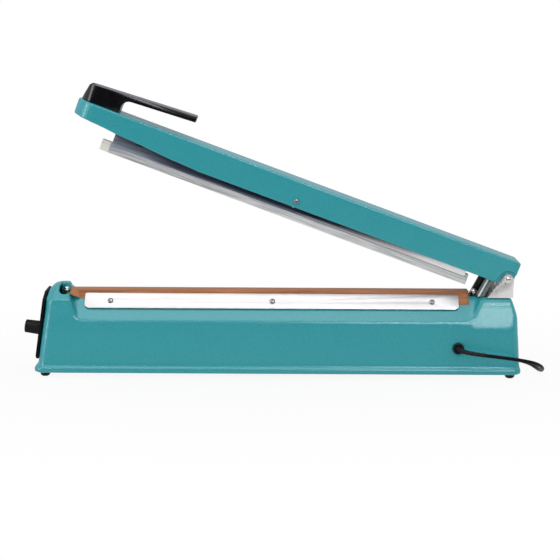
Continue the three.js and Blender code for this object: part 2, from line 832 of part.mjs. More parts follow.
// Bottom cover and feet, whose stems push into bosses of the casting
const coverBottom = footHeight;
function makeCover() {
  const outline = roundedRing(coverInset - halfLength, halfLength - coverInset, halfWidth - coverInset,
    flangeCorner - coverInset, 0).map((point) => [point.x, point.y]);
  const plate = prismZ(outline, coverBottom + seatGap / 2, coverBottom + coverThickness);
  const holes = footPlaces.map(([x, y]) => placed(rodZ(stemRadius + seatGap, 0, overrun), x, y, 0));
  return cut(plate, holes);
}
add(base, 'bottom_cover', makeCover(), 'steel');

const footNames = ['foot_left_front', 'foot_left_rear', 'foot_right_front', 'foot_right_rear'];
footPlaces.forEach(([x, y], index) => {
  const top = footHeight - seatGap / 2;
  const stemTop = footHeight + footStem;
  const foot = latheZ([[0, 0], [footRadius - footRound, 0], [footRadius, footRound], [footRadius, top],
    [stemRadius, top], [stemRadius, stemTop], [0, stemTop]], 20);
  add(base, footNames[index], placed(foot, x, y, 0), 'rubber');
});

// End panel on the left wall, with knob, lamp and timer behind it
const panelOuter = -seatGap - panelThickness;
function panelOutline(inset) {
  const half = [[panelBottomHalf - inset - panelCorner, panelBottom + inset],
    [panelBottomHalf - inset, panelBottom + inset + panelCorner],
    [panelEdgeHalf - inset, humpEdge - panelCorner],
    [panelEdgeHalf - inset - panelCorner / 2, humpEdge], [panelTopHalf - inset, panelTop - inset]];
  return [...half, ...half.map(([y, z]) => [-y, z]).reverse()];
}
function alongWall(solid, y, z) {
  return solid.rotate([0, -90, 0]).translate([0, y, z]);
}
function makePanel() {
  const edge = seatGap * 2;
  const plate = joined([prismX(panelOutline(0), panelOuter + edge, -seatGap),
    prismX(panelOutline(edge), panelOuter, panelOuter + edge)]);
  const holes = [alongWall(rodZ(bushRadius + seatGap, -overrun, overrun), 0, knobHeight),
    alongWall(rodZ(lampRadius + seatGap, -overrun, overrun), 0, lampHeight),
    ...panelScrewHeights.map((z) => alongWall(rodZ(screwRadius + seatGap, -overrun, overrun), 0, z))];
  return cut(plate, holes);
}
add(wall, 'end_panel', makePanel(), 'black');

addEach(wall, 'panel_screw', panelScrewHeights.map((z) => alongWall(
  screwZ(screwHeadRadius, screwHeadHeight, screwRadius, overrun / 2), 0, z)
  .translate([panelOuter - seatGap, 0, 0])), 'steel');

function makeKnob() {
  const points = [];
  for (let rib = 0; rib < knobRibs * 2; rib += 1) {
    const angle = (rib / (knobRibs * 2)) * 2 * Math.PI;
    const radius = rib % 2 === 0 ? knobRadius : knobRadius - knobRibDepth;
    points.push([radius * Math.cos(angle), radius * Math.sin(angle)]);
  }
  const ribbed = prismZ(points, 0, knobLength);
  const taper = latheZ([[0, 0], [knobRadius, 0], [knobTipRadius, knobLength - seatGap * 3],
    [knobTipRadius - seatGap * 3, knobLength], [0, knobLength]], 36);
  const bore = rodZ(shaftRadius + seatGap, -overrun, knobLength - castWall);
  return ribbed.intersect(taper).subtract(bore);
}
const knobSeat = panelOuter - runGap;
add(wall, 'timer_knob', alongWall(makeKnob(), 0, knobHeight).translate([knobSeat, 0, 0]), 'black');

const boardFront = overrun / 2;
const potFront = seatGap;
function makePot() {
  const body = rodZ(potRadius, -potFront - potDepth, -potFront, 24);
  const bush = rodZ(bushRadius, -potFront - seatGap, -panelOuter + seatGap, 24);
  const bore = rodZ(shaftRadius + seatGap, -potFront - potDepth + boardThickness, overrun);
  return alongWall(body.add(bush).subtract(bore), 0, knobHeight);
}
add(wall, 'potentiometer', makePot(), 'steel');
const shaftEnd = -knobSeat + knobLength - castWall - seatGap;
add(wall, 'potentiometer_shaft', alongWall(
  rodZ(shaftRadius, -potFront - potDepth + boardThickness + seatGap, shaftEnd), 0, knobHeight), 'steel');

function makeLamp() {
  const rim = lampRadius + lampFlange;
  const lens = lampRadius - lampFlange;
  return alongWall(latheZ([[0, -lampLength], [lampRadius, -lampLength], [lampRadius, -panelOuter],
    [rim, -panelOuter + seatGap], [rim, -panelOuter + lampProud], [lens, -panelOuter + lampProud * 2],
    [0, -panelOuter + lampProud * 2]], 20), 0, lampHeight);
}
add(wall, 'indicator_lamp', makeLamp(), 'red');

function makeBoard() {
  const sheet = box(boardFront, boardFront + boardThickness, -boardHalf, boardHalf, boardBottom,
    boardTop);
  const back = boardFront + boardThickness;
  const lampHole = alongWall(rodZ(lampRadius + runGap, -overrun, overrun), 0, lampHeight);
  const capacitors = [-1, 1].map((side) => alongWall(rodZ(bushRadius, -back - overrun / 2, -back),
    side * boardHalf / 2, boardTop - bushRadius * 2));
  return joined([sheet.subtract(lampHole), ...capacitors]);
}
add(wall, 'timer_board', makeBoard(), 'board');
const relayBack = boardFront + boardThickness + seatGap;
add(wall, 'relay', box(relayBack, relayBack + potDepth * 2, -potRadius, potRadius, boardBottom + castWall,
  boardBottom + potRadius * 2), 'black');

// Sealing bed: insulating strip, heating wire, cloth and clamp bars
const stripBottom = ridgeTop + seatGap;
const wireBottom = stripBottom + stripThickness + seatGap;
const stripLeft = clothLeft + castWall / 2;
const stripRight = saddleRight - seatGap;
add(base, 'insulating_strip', box(stripLeft, stripRight, -stripWidth / 2, stripWidth / 2, stripBottom,
  stripBottom + stripThickness), 'bakelite');

function makeWire() {
  const top = wireBottom + wireThickness;
  const left = eyeletHeight;
  const right = rightEyeletHeight;
  const bottom = [[leftTerminal, left], [saddleLeft - castWall, left], [stripLeft, wireBottom],
    [stripRight, wireBottom], [rightTerminal - terminalWasher, right], [rightTerminal, right]];
  const upper = [[rightTerminal, right + wireThickness],
    [rightTerminal - terminalWasher, right + wireThickness], [stripRight, top], [stripLeft, top],
    [saddleLeft - castWall, left + wireThickness], [leftTerminal, left + wireThickness]];
  const ribbon = prismY([...bottom, ...upper], -wireWidth / 2, wireWidth / 2);
  const ends = [[leftTerminal, left], [rightTerminal, right]];
  const eyelets = ends.map(([x, low]) => placed(
    rodZ(terminalWasher - seatGap, low, low + washerThickness - seatGap), x, 0, 0));
  const holes = ends.map(([x, low]) => placed(
    rodZ(screwRadius + seatGap, low - overrun, low + overrun), x, 0, 0));
  return cut(joined([ribbon, ...eyelets]), holes);
}
add(base, 'heating_wire', makeWire(), 'steel');

const slopeShare = clothReach / slopeLength;
const clothLine = [[-ridgeHalf - (shoulderHalf - ridgeHalf) * slopeShare,
  ridgeFoot - (ridgeFoot - shoulderBottom) * slopeShare], [-ridgeHalf, ridgeFoot],
[-ridgeHalf, wireBottom + wireThickness], [ridgeHalf, wireBottom + wireThickness], [ridgeHalf, ridgeFoot],
[ridgeHalf + (shoulderHalf - ridgeHalf) * slopeShare,
  ridgeFoot - (ridgeFoot - shoulderBottom) * slopeShare]];

// At the left the cloth is pressed up on the flank of the hump, on both sides of the nose.
function clothFlap(side) {
  const half = box(-flangeLength, 0, Math.min(0, side * flangeWidth), Math.max(0, side * flangeWidth), 0,
    humpTop + overrun);
  const lifted = (gap) => castForm.translate([gap, side * gap, gap]).intersect(half);
  const outline = [[side * flapHalf, flapLow + flapRise], [side * flapSide, flapLow],
    [side * (ridgeHalf + seatGap), flapLow], [side * (ridgeHalf + seatGap), humpTop - seatGap],
    [side * flapHalf, humpTop - seatGap]];
  const left = leftTerminal + terminalWasher + runGap;
  return lifted(seatGap + clothThickness).subtract(lifted(seatGap))
    .intersect(prismX(outline, left, clothLeft + seatGap));
}
function makeCloth() {
  const spread = prismX(band(clothLine, seatGap, seatGap + clothThickness), clothLeft, clothRight);
  const holes = [inBase(slopeHoles, slope), inBase(rearward(slopeHoles), rearSlope)];
  const top = wireBottom + wireThickness + seatGap;
  const crest = humpTop + seatGap;
  const foot = clothLeft - (top - ridgeTop);
  const ramp = [[clothLeft + seatGap, top], [foot + seatGap, top],
    [foot + seatGap - (crest - top), crest], [clothLeft - clothReach, crest]];
  const tab = prismY(band(ramp, -clothThickness, 0), -ridgeHalf + seatGap, ridgeHalf - seatGap);
  return joined([cut(spread, holes), tab, clothFlap(-1), clothFlap(1)]);
}
add(base, 'sealing_cloth', makeCloth(), 'cloth');

// A clamp bar, drawn on a slope, with its lower corners more rounded than its upper ones.
function makeClampBar() {
  const low = slopeLength - barWidth;
  const high = slopeLength - seatGap;
  const outline = [...arc(barRight - barTopCorner, high - barTopCorner, barTopCorner, 0, 90, 3),
    ...arc(barLeft + barTopCorner, high - barTopCorner, barTopCorner, 90, 180, 3),
    ...arc(barLeft + barCorner, low + barCorner, barCorner, 180, 270, 4),
    ...arc(barRight - barCorner, low + barCorner, barCorner, 270, 360, 4)];
  return prismZ(outline, barOffset, barOffset + barThickness).subtract(slopeHoles);
}
function makeBarScrews() {
  return barScrewPlaces.map((x) => placed(
    screwZ(barHeadRadius, barHeadHeight, screwRadius, barScrewLength), x, barScrewUp,
    barOffset + barThickness + seatGap));
}
add(slope, 'front_clamp_bar', makeClampBar(), 'plate');
addEach(slope, 'front_clamp_screw', makeBarScrews(), 'steel');
add(rearSlope, 'rear_clamp_bar', rearward(makeClampBar()), 'plate');
addEach(rearSlope, 'rear_clamp_screw', makeBarScrews().map(rearward), 'steel');

// Terminals
const leftBlockTop = recessFloor - castWall - seatGap;
function terminalBlock(x, halfX, halfY, z0, z1) {
  const body = box(x - halfX, x + halfX, -halfY, halfY, z0, z1);
  return body.subtract(placed(rodZ(screwRadius + seatGap, z0 + castWall, z1 + overrun), x, 0, 0));
}
add(base, 'left_terminal_block', terminalBlock(leftTerminal, leftBlockHalf, leftBlockHalf,
  leftBlockTop - leftBlockHeight, leftBlockTop), 'bakelite');
add(base, 'right_terminal_block', terminalBlock(rightTerminal, rightBlockWidth / 2 - seatGap,
  rightBlockHalf, rightBlockBottom, blockTop), 'bakelite');
function terminalScrew(x, seat, length) {
  const rim = washerThickness + terminalHeadHeight / 2;
  const crown = washerThickness + terminalHeadHeight;
  const screw = latheZ([[0, -length], [screwRadius, -length], [screwRadius, 0], [terminalWasher, 0],
    [terminalWasher, washerThickness], [terminalHead, washerThickness], [terminalHead, rim],
    [terminalHead / 2, crown], [0, crown]], 20);
  return placed(screw, x, 0, seat + washerThickness);
}
const leftDepth = eyeletHeight - leftBlockTop + leftBlockHeight - castWall;
add(base, 'left_terminal_screw', terminalScrew(leftTerminal, eyeletHeight, leftDepth), 'steel');
const rightDepth = rightEyeletHeight - rightBlockBottom - castWall;
add(base, 'right_terminal_screw', terminalScrew(rightTerminal, rightEyeletHeight, rightDepth), 'steel');
add(base, 'left_terminal_seat', placed(latheZ([[screwRadius + seatGap, recessFloor + seatGap],
  [terminalHead + runGap, recessFloor + seatGap], [terminalHead + runGap, eyeletHeight - seatGap],
  [screwRadius + seatGap, eyeletHeight - seatGap], [screwRadius + seatGap, recessFloor + seatGap]], 20),
leftTerminal, 0, 0), 'copper');

// Hinge bracket, pin and screws
const plateBottom = blockTop + seatGap;
function earOutline() {
  return [[earFootLeft, plateBottom], [earFootRight, plateBottom],
    ...arc(pivotX, pivotZ, earRadius, 0, 145, 10)];
}
function makeBracket() {
  const outline = earOutline();
  const ears = [prismY(outline, -earInner - earThickness, -earInner),
    prismY(outline, earInner, earInner + earThickness)];
  const plate = box(plateLeft, earFootRight, -earInner - earThickness / 2, earInner + earThickness / 2,
    plateBottom, plateBottom + plateThickness);
  const pinHole = rodZ(pinRadius + seatGap, -flangeWidth, flangeWidth).rotate([90, 0, 0])
    .translate([pivotX, 0, pivotZ]);
  const holes = plateScrewPlaces.flatMap((x) => [-1, 1].map((side) => placed(
    rodZ(screwRadius + seatGap, 0, humpTop), x, side * plateScrewHalf, 0)));
  return cut(joined([...ears, plate]), [pinHole, ...holes]);
}
add(base, 'hinge_bracket', makeBracket(), 'steel');

addEach(base, 'bracket_screw', plateScrewPlaces.flatMap((x) => [-1, 1].map((side) => placed(
  screwZ(screwHeadRadius, screwHeadHeight, screwRadius, overrun / 2), x, side * plateScrewHalf,
  plateBottom + plateThickness + seatGap))), 'steel');

const pinEnd = earInner + earThickness + seatGap;
function makePin() {
  const headEnd = pinEnd + pinHeadHeight;
  return latheZ([[0, -headEnd], [pinHeadRadius, -headEnd], [pinHeadRadius, -pinEnd], [pinRadius, -pinEnd],
    [pinRadius, pinEnd], [pinHeadRadius, pinEnd], [pinHeadRadius, headEnd], [0, headEnd]], 24)
    .rotate([90, 0, 0]);
}
add(base, 'hinge_pin', makePin().translate([pivotX, 0, pivotZ]), 'steel');

// Arm casting: drawn closed, from the pivot at zero towards minus X
function armPlan(inset) {
  const halfY = armHalf - inset;
  return [[armTail - inset, -halfY], [armTail - inset, halfY],
    ...arc(-armTip + armHalf, 0, halfY, 90, 270, 16)];
}
function acrossY(radius, x, z, halfLength, sides = 24) {
  return rodZ(radius, -halfLength, halfLength, sides).rotate([90, 0, 0]).translate([x, 0, z]);
}
function makeArm() {
  const top = armTop;
  const body = prismZ(armPlan(0), armEdge - overrun, top, armRound);
  const under = armRise.map(([reach, height]) => [-reach, height]);
  const below = [[armTail + overrun, armEdge], ...under, [-armTip - overrun, under[under.length - 1][1]],
    [-armTip - overrun, armEdge - overrun * 2], [armTail + overrun, armEdge - overrun * 2]];
  const hollow = prismZ(armPlan(armWall), armEdge - overrun, top - armTopWall);
  const shell = cut(body, [prismY(below, -flangeWidth, flangeWidth), hollow]);
  const recessOutline = [[-recessFoot, armEdge - overrun], [armTail + overrun, armEdge - overrun],
    [armTail + overrun, 0], ...arc(0, 0, recessRadius, 0, 165, 14)];
  const inner = recessHalf - armWall;
  const sideRecess = [-1, 1].map((side) => prismY(recessOutline, side > 0 ? recessHalf : -armHalf - overrun,
    side > 0 ? armHalf + overrun : -recessHalf));
  const cheekOutline = [[-recessFoot - armWall, armEdge], [armTail, armEdge],
    [armTail, 0], ...arc(0, 0, recessRadius + armWall, 0, 150, 14)].map(
    ([x, z]) => [Math.min(x, armTail), Math.min(z, top - armTopWall + seatGap)]);
  const cheeks = [-1, 1].map((side) => prismY(cheekOutline, side > 0 ? inner : -armHalf + armWall / 2,
    side > 0 ? armHalf - armWall / 2 : -inner));
  const pad = placed(rodZ(liftPadRadius, liftPadDrop, top - armTopWall / 2), -liftPadPlace, sleeveY, 0);
  const boss = placed(rodZ(pusherRadius, pusherDrop, top - armTopWall / 2), -pusherPlace, rodY, 0);
  const belowArm = prismY(below, -flangeWidth, flangeWidth);
  const whole = joined([shell, ...cheeks.map((cheek) => cheek.subtract(belowArm)), pad, boss]);
  const pinHole = acrossY(pinRadius + seatGap, 0, 0, flangeWidth);
  const crossHole = acrossY(crossPinRadius + seatGap, -crossPin, crossPinRise, flangeWidth);
  const handleHoles = handleScrewPlaces.map((reach) => placed(
    rodZ(screwRadius + seatGap, 0, armTop + overrun), -reach, 0, 0));
  return cut(whole, [...sideRecess, pinHole, crossHole, ...handleHoles]);
}
add(arm, 'arm_housing', makeArm(), 'teal');

// Handle: a foot at the tip of the arm and a grip that reaches back over it
function makeHandle() {
  const bottom = armTop + seatGap;
  const slopeOf = (handleTopEnd - handleTopTip) / (handleTip - handleEnd);
  const topAt = (reach) => handleTopTip + (handleTip - reach) * slopeOf;
  const gripUnder = (reach) => topAt(reach) - gripThickness;
  const archX = handleFoot - archRadius;
  const profile = [[-handleTip, bottom], [-handleTip + handleLean, handleTopTip - handleRound],
    [-handleTip + handleLean + handleRound, handleTopTip], [-handleEnd - handleRound, topAt(handleEnd)],
    [-handleEnd, topAt(handleEnd) - handleRound], [-handleEnd, gripUnder(handleEnd)],
    ...arc(-archX, gripUnder(archX) - archRadius, archRadius, 90, 180, 6), [-handleFoot, bottom]];
  const solid = prismY(profile, -handleHalf, handleHalf);
  const plan = [...arc(-handleEnd - handleRound * 3, 0, handleHalf, -80, 80, 8).map(
    ([x, y]) => [Math.min(x, -handleEnd + overrun), y]),
  ...arc(-handleTip + handleHalf, 0, handleHalf, 90, 270, 14)];
  const screwHoles = handleScrewPlaces.map((reach) => placed(
    rodZ(screwRadius + seatGap, 0, bottom + potDepth), -reach, 0, 0));
  return cut(solid.intersect(prismZ(plan, 0, handleTopEnd + overrun)), screwHoles);
}
add(arm, 'handle', makeHandle(), 'black');
addEach(arm, 'handle_screw', handleScrewPlaces.map((reach) => placed(
  screwZ(screwHeadRadius, screwHeadHeight, screwRadius, armTopWall + potDepth - castWall)
    .rotate([180, 0, 0]), -reach, 0, armTop - armTopWall - seatGap)), 'steel');

// Cross pin through the arm, on which the pressure bar hangs
function makeCrossPin() {
  const end = armHalf + seatGap;
  return latheZ([[0, -end - crossHeadHeight], [crossHeadRadius / 2, -end - crossHeadHeight],
    [crossHeadRadius, -end - crossHeadHeight / 2], [crossHeadRadius, -end], [crossPinRadius, -end],
    [crossPinRadius, end], [crossHeadRadius, end], [crossHeadRadius, end + crossHeadHeight],
    [0, end + crossHeadHeight]], 20).rotate([-90, 0, 0]).translate([-crossPin, 0, crossPinRise]);
}
add(arm, 'cross_pin', makeCrossPin(), 'steel');

// Pressure bar, drawn seated on the bed with the arm closed
const barSeat = bedTop + seatGap - pivotZ;
const carrierBottom = barSeat + siliconeShown;
const carrierTop = barSeat + carrierHeight;
const webTop = barSeat + siliconeHeight + seatGap + webThickness;
function makeCarrier() {
  const sides = [[-carrierHalf, carrierWall - carrierHalf], [carrierHalf - carrierWall, carrierHalf]];
  const walls = sides.map(([y0, y1]) => box(-barFar, -barNear, y0, y1, carrierBottom, carrierTop));
  const web = box(-barFar, -barNear, -carrierHalf, carrierHalf, webTop - webThickness, webTop);
  const lugOutline = [[-crossPin - lugHalf, webTop], [-crossPin + lugHalf, webTop],
    ...arc(-crossPin, floatTravel + crossPinRise, lugRise, 0, 180, 10)];
  const lugs = sides.map(([y0, y1]) => prismY(lugOutline, y0, y1));
  const tabs = sides.map(([y0, y1]) => box(-barFar, -tabStart, y0, y1, webTop, carrierTop + tabRise));
  const slotRadius = crossPinRadius + seatGap;
  const slot = [...arc(-crossPin, crossPinRise, slotRadius, 180, 360, 8),
    ...arc(-crossPin, crossPinRise + floatTravel, slotRadius, 0, 180, 8)];
  return joined([...walls, web, ...lugs, ...tabs]).subtract(prismY(slot, -armHalf, armHalf));
}
add(bar, 'pressure_bar', makeCarrier(), 'darkSteel');

function makeSilicone() {
  const neck = carrierHalf - carrierWall - seatGap;
  const half = [[carrierHalf - seatGap, barSeat], [carrierHalf, barSeat + seatGap],
    [carrierHalf, carrierBottom - seatGap], [neck, carrierBottom - seatGap],
    [neck, barSeat + siliconeHeight]];
  return prismX([...half, ...half.map(([y, z]) => [-y, z]).reverse()], -siliconeFar, -siliconeNear);
}
add(bar, 'silicone_strip', makeSilicone(), 'silicone');

// Springs that push the bar down, between its web and the arm's top wall
const barSpringFoot = webTop - floatTravel + seatGap;
const barSpringLength = armTop - armTopWall - seatGap - barSpringFoot;
barSpringPlaces.forEach((reach, index) => {
  const spring = springZ(barSpringRadius, barSpringWire, barSpringTurns, barSpringLength);
  spring.translate(-reach, 0, barSpringFoot);
  add(arm, ['bar_spring_near', 'bar_spring_far'][index], spring, 'steel');
});

// Sleeve, lift spring and switch rod, which lean alike
function lean(geometry, footX, y) {
  geometry.rotateY(radians(sleeveLean));
  geometry.translate(footX, y, blockTop + seatGap);
  return geometry;
}
const footLift = sleeveRadius * tangent(sleeveLean);
function makeSleeve() {
  const foot = -footLift * 2;
  const tube = latheZ([[sleeveBore, foot], [sleeveRadius, foot], [sleeveRadius, sleeveLength],
    [sleeveBore, sleeveLength], [sleeveBore, foot]], 28);
  const under = box(-flangeLength, flangeLength, -flangeWidth, flangeWidth, 0, blockTop + seatGap);
  return leaning(tube, sleeveFoot, sleeveY).subtract(under);
}
add(base, 'spring_sleeve', makeSleeve(), 'sleeve');

const padWorld = new THREE.Vector3(-liftPadPlace, sleeveY, liftPadDrop);
arm.updateMatrix();
padWorld.applyMatrix4(arm.matrix);
const liftSpringRoom = (padWorld.z - blockTop) / Math.cos(radians(sleeveLean));
const liftSpringLength = liftSpringRoom - liftPadRadius * tangent(sleeveLean / 2) - footLift * 1.5;
const liftSpring = springZ(liftSpringRadius, liftSpringWire, liftSpringTurns, liftSpringLength);
liftSpring.translate(0, 0, footLift / 2 + seatGap * 2);
add(base, 'lift_spring', lean(liftSpring, sleeveFoot, sleeveY), 'darkSteel');

const rodTop = (rodTopHeight - blockTop) / Math.cos(radians(sleeveLean));
function makeRod() {
  return leaning(latheZ([[0, rodTop - rodLength], [rodRadius, rodTop - rodLength],
    [rodRadius, rodTop - seatGap * 3], [rodRadius - seatGap * 3, rodTop], [0, rodTop]], 20), rodFoot, rodY);
}
add(base, 'switch_rod', makeRod(), 'black');

// Microswitch under the rod, on a bracket below the block's top
function makeSwitch() {
  const z1 = rodTop - rodLength - rodTravel - seatGap - buttonHeight;
  const back = -switchLength * switchButtonShare;
  const body = box(back, back + switchLength, -switchDepth / 2, switchDepth / 2, z1 - switchHeight, z1);
  const button = rodZ(rodRadius / 3, z1 - seatGap, z1 + buttonHeight);
  return leaning(body.add(button), rodFoot, rodY);
}
add(base, 'microswitch', makeSwitch(), 'black');

// A plate beside the switch hangs from the block's top, by a flange turned outwards.
function makeSwitchPlate() {
  const side = rodY + switchDepth / 2 + seatGap;
  const ceiling = blockTop - castWall - seatGap;
  const tip = new THREE.Vector3(0, 0, rodTop - rodLength - rodTravel - switchHeight);
  tip.applyAxisAngle(new THREE.Vector3(0, 1, 0), radians(sleeveLean));
  const left = saddleRight + castWall + (ceiling - shoulderBottom) * tangent(flankRightLean) + runGap;
  const right = left + switchLength / 2;
  const low = blockTop + tip.z + switchHeight / 2;
  const web = box(left, right, side, side + switchPlateThickness, low, ceiling);
  const flange = box(left, right, side, side + switchPlateThickness * 2, ceiling - switchPlateThickness,
    ceiling);
  return web.add(flange);
}
add(base, 'switch_bracket', makeSwitchPlate(), 'steel');

// Transformer on the bottom cover
const coreBottom = footHeight + coverThickness + seatGap;
const coreTop = coreBottom + coreHeight;
const windingTop = coreTop - coreLimb;
const coreLeft = coreMiddle - coreLength / 2;
const coreRight = coreMiddle + coreLength / 2;
function makeCore() {
  const body = box(coreLeft, coreRight, -coreHalf, coreHalf, coreBottom, coreTop);
  const windows = [-1, 1].map((side) => {
    const near = coreMiddle + (side * coreTongue) / 2;
    const far = coreMiddle + side * (coreLength / 2 - coreLimb);
    return box(Math.min(near, far), Math.max(near, far), -coreHalf * 2, coreHalf * 2, coreBottom + coreLimb,
      coreTop - coreLimb);
  });
  return cut(body, windows);
}
add(base, 'transformer_core', makeCore(), 'darkSteel');

function makeWinding() {
  const gap = runGap;
  const outerX = coreLength / 2 - coreLimb - gap;
  const outerY = coreHalf + windingProud;
  const outer = box(coreMiddle - outerX, coreMiddle + outerX, -outerY, outerY, coreBottom + coreLimb + gap,
    windingTop - gap);
  const innerX = coreTongue / 2 + gap;
  const innerY = coreHalf + gap;
  const inner = box(coreMiddle - innerX, coreMiddle + innerX, -innerY, innerY, 0, coreTop);
  return outer.subtract(inner);
}
add(base, 'transformer_winding', makeWinding(), 'copper');

function makeStrap() {
  const inner = coreLength / 2 + seatGap;
  const outer = inner + strapThickness;
  const tip = outer + strapFoot;
  const top = coreTop + seatGap;
  const half = [[inner, top], [inner, coreBottom], [tip, coreBottom], [tip, coreBottom + strapThickness],
    [outer, coreBottom + strapThickness], [outer, top + strapThickness]];
  const outline = [...half, ...half.map(([x, z]) => [-x, z]).reverse()];
  return prismY(outline, -strapWidth / 2, strapWidth / 2).translate([coreMiddle, 0, 0]);
}
add(base, 'transformer_strap', makeStrap(), 'steel');

// Tubes along curves
function tube(points, radius, steps, sides) {
  const curve = new THREE.CatmullRomCurve3(points.map(([x, y, z]) => new THREE.Vector3(x, y, z)));
  const outline = ring(0, 0, radius, sides).map(([x, y]) => new THREE.Vector2(x, y));
  const settings = { steps, extrudePath: curve, bevelEnabled: false };
  return new THREE.ExtrudeGeometry(new THREE.Shape(outline), settings);
}

// Leads from the transformer to the two terminals: up beside the core, along under the ridge, and up
function leadPoints(side, terminal, blockBottom, drop) {
  const start = leadRise.map(([x, y, z]) => [coreMiddle + side * x, y - coreHalf, windingTop + z]);
  const over = leadOver.map(([x, y, z]) => [coreMiddle + side * (coreLength / 2 + x), y - coreHalf,
    coreTop + z]);
  const rise = [...start, ...over];
  const fall = drop.map(([x, y, z]) => [terminal + x, y, blockBottom + z]);
  const from = rise[rise.length - 1][0];
  const crest = leadCrestShares.map((share) => [from + (fall[0][0] - from) * share, 0,
    coreTop + leadCrestRise]);
  return [...rise, ...crest, ...fall];
}
const leftLead = leadPoints(-1, leftTerminal, leftBlockTop - leftBlockHeight, leadLeftDrop);
const rightLead = leadPoints(1, rightTerminal, rightBlockBottom, leadRightDrop);
add(base, 'heater_lead_left', tube(leftLead, leadRadius, leadSteps, leadSides), 'red');
add(base, 'heater_lead_right', tube(rightLead, leadRadius, leadSteps, leadSides), 'black');

// Cord: gland, strain relief, free run, coil, tie and plug. The routes are measured along X from the gland.
const besideFlange = (route, edge) => route.map(([x, y, z]) => [glandX + x, edge + y, z]);
const reliefPoints = besideFlange(reliefRoute, -halfWidth);
const cordPoints = [...besideFlange(frontRoute, -halfWidth), ...besideFlange(rearRoute, halfWidth)];
function makeGland() {
  const back = -castWall - glandProud;
  return outwards(latheZ([[glandBore, back], [glandNeck, back], [glandNeck, glandLip],
    [glandRadius, glandLip], [glandRadius, glandProud - glandRound], [glandRadius - glandRound, glandProud],
    [glandBore, glandProud], [glandBore, back]], 20));
}
add(base, 'cord_gland', makeGland(), 'rubber');

// The strain relief tapers from the gland down to a sleeve round the cord.
function makeRelief() {
  const curve = new THREE.CatmullRomCurve3(reliefPoints.map(([x, y, z]) => new THREE.Vector3(x, y, z)));
  const frames = curve.computeFrenetFrames(reliefSteps, false);
  const rings = [];
  for (let step = 0; step <= reliefSteps; step += 1) {
    const share = step / reliefSteps;
    const radius = reliefStart + (reliefEnd - reliefStart) * share;
    rings.push(section(curve.getPointAt(share), frames.normals[step], frames.binormals[step], radius, 12));
  }
  return skin(rings);
}
add(base, 'strain_relief', makeRelief(), 'rubber');
add(base, 'power_cord_run', tube(cordPoints, cordDiameter / 2, cordSteps, cordSides), 'rubber');

// The coil winds clockwise and inwards, turns back half way up its climb, and winds out on top.
function coilPath() {
  const points = [];
  const innerTurns = coilTurns + coilInnerShare;
  const total = coilTurns * 2 + coilInnerShare * 2;
  const outer = coilInner + coilPitch * coilTurns;
  for (let step = 0; step <= total * loopSteps; step += 1) {
    const turn = step / loopSteps;
    const radius = outer - coilPitch * (turn <= innerTurns ? turn : innerTurns * 2 - turn);
    const climb = THREE.MathUtils.clamp((turn - coilTurns) / coilRiseShare, 0, 1);
    const angle = -Math.PI / 2 - turn * 2 * Math.PI;
    points.push(new THREE.Vector3(coilMiddle[0] + radius * Math.cos(angle),
      coilMiddle[1] + radius * Math.sin(angle), coilHeight + coilRise * climb));
  }
  return points;
}
function straightEnds(points) {
  const first = points[0].clone();
  const last = points[points.length - 1].clone();
  first.x += cordDiameter;
  last.x += cordDiameter;
  return [first, ...points, last];
}
function leastGap(points, diameter, apart) {
  let least = Infinity;
  points.forEach((point, index) => {
    for (let other = index + apart; other < points.length; other += 1) {
      least = Math.min(least, point.distanceTo(points[other]) - diameter);
    }
  });
  return least;
}
function makeCoil() {
  const points = straightEnds(coilPath());
  const least = leastGap(points, cordDiameter, loopSteps / 2);
  console.log('least gap between the cord coil\'s turns, mm:', least.toFixed(2));
  const up = new THREE.Vector3(0, 0, 1);
  const rings = points.map((point, index) => {
    const before = points[Math.max(index - 1, 0)];
    const after = points[Math.min(index + 1, points.length - 1)];
    const along = after.clone().sub(before).normalize();
    const ends = index === 0 || index === points.length - 1;
    if (ends) along.set(-Math.sign(points[0].x), 0, 0);
    const across = up.clone().cross(along).normalize();
    const square = along.clone().cross(across).normalize();
    return section(point, across, square, cordDiameter / 2, loopSides);
  });
  return skin(rings);
}
add(base, 'power_cord_coil', makeCoil(), 'rubber');

// The tie goes round all turns on the coil's left side.
function makeTie() {
  const inner = coilInner - coilPitch * coilInnerShare - cordDiameter / 2 - runGap;
  const outer = coilInner + coilPitch * coilTurns + cordDiameter / 2 + runGap;
  const low = coilHeight - cordDiameter / 2 - seatGap;
  const high = coilHeight + coilRise + cordDiameter / 2 + seatGap;
  const [x, y] = coilMiddle;
  const loop = box(x - outer - tieThickness, x - inner + tieThickness, y - tieWidth / 2, y + tieWidth / 2,
    low - tieThickness, high + tieThickness);
  return loop.subtract(box(x - outer, x - inner, y - tieWidth, y + tieWidth, low, high));
}
add(base, 'cord_tie', makeTie(), 'black');

function makePlug() {
  const seat = coilMiddle[0] + cordDiameter + seatGap;
  const y = coilMiddle[1] + coilInner + coilPitch * coilTurns;
  const z = coilHeight + coilRise;
  const half = plugWidth / 2;
  const neckEnd = plugNeck + plugRound;
  const side = [[plugNeck, half * plugNeckShare], [plugNeck + plugLength * plugNeckShare, half],
    [plugNeck + plugLength, half]];
  const plan = [...side, ...side.map(([px, py]) => [px, -py]).reverse()];
  const body = prismZ(plan, -plugThickness / 2, plugThickness / 2, plugRound);
  const alongX = (solid) => solid.rotate([0, 90, 0]);
  const neck = alongX(latheZ([[0, 0], [cordDiameter / 2 + plugSleeve, 0], [plugThickness / 4, neckEnd],
    [0, neckEnd]], 16));
  const pins = [-1, 1].map((side) => alongX(rodZ(plugPinRadius, plugNeck + plugLength - plugRound,
    plugNeck + plugLength + plugPinLength)).translate([0, side * plugPinHalf, 0]));
  return placed(joined([body, neck, ...pins]), seat, y, z);
}
add(base, 'plug', makePlug(), 'black');

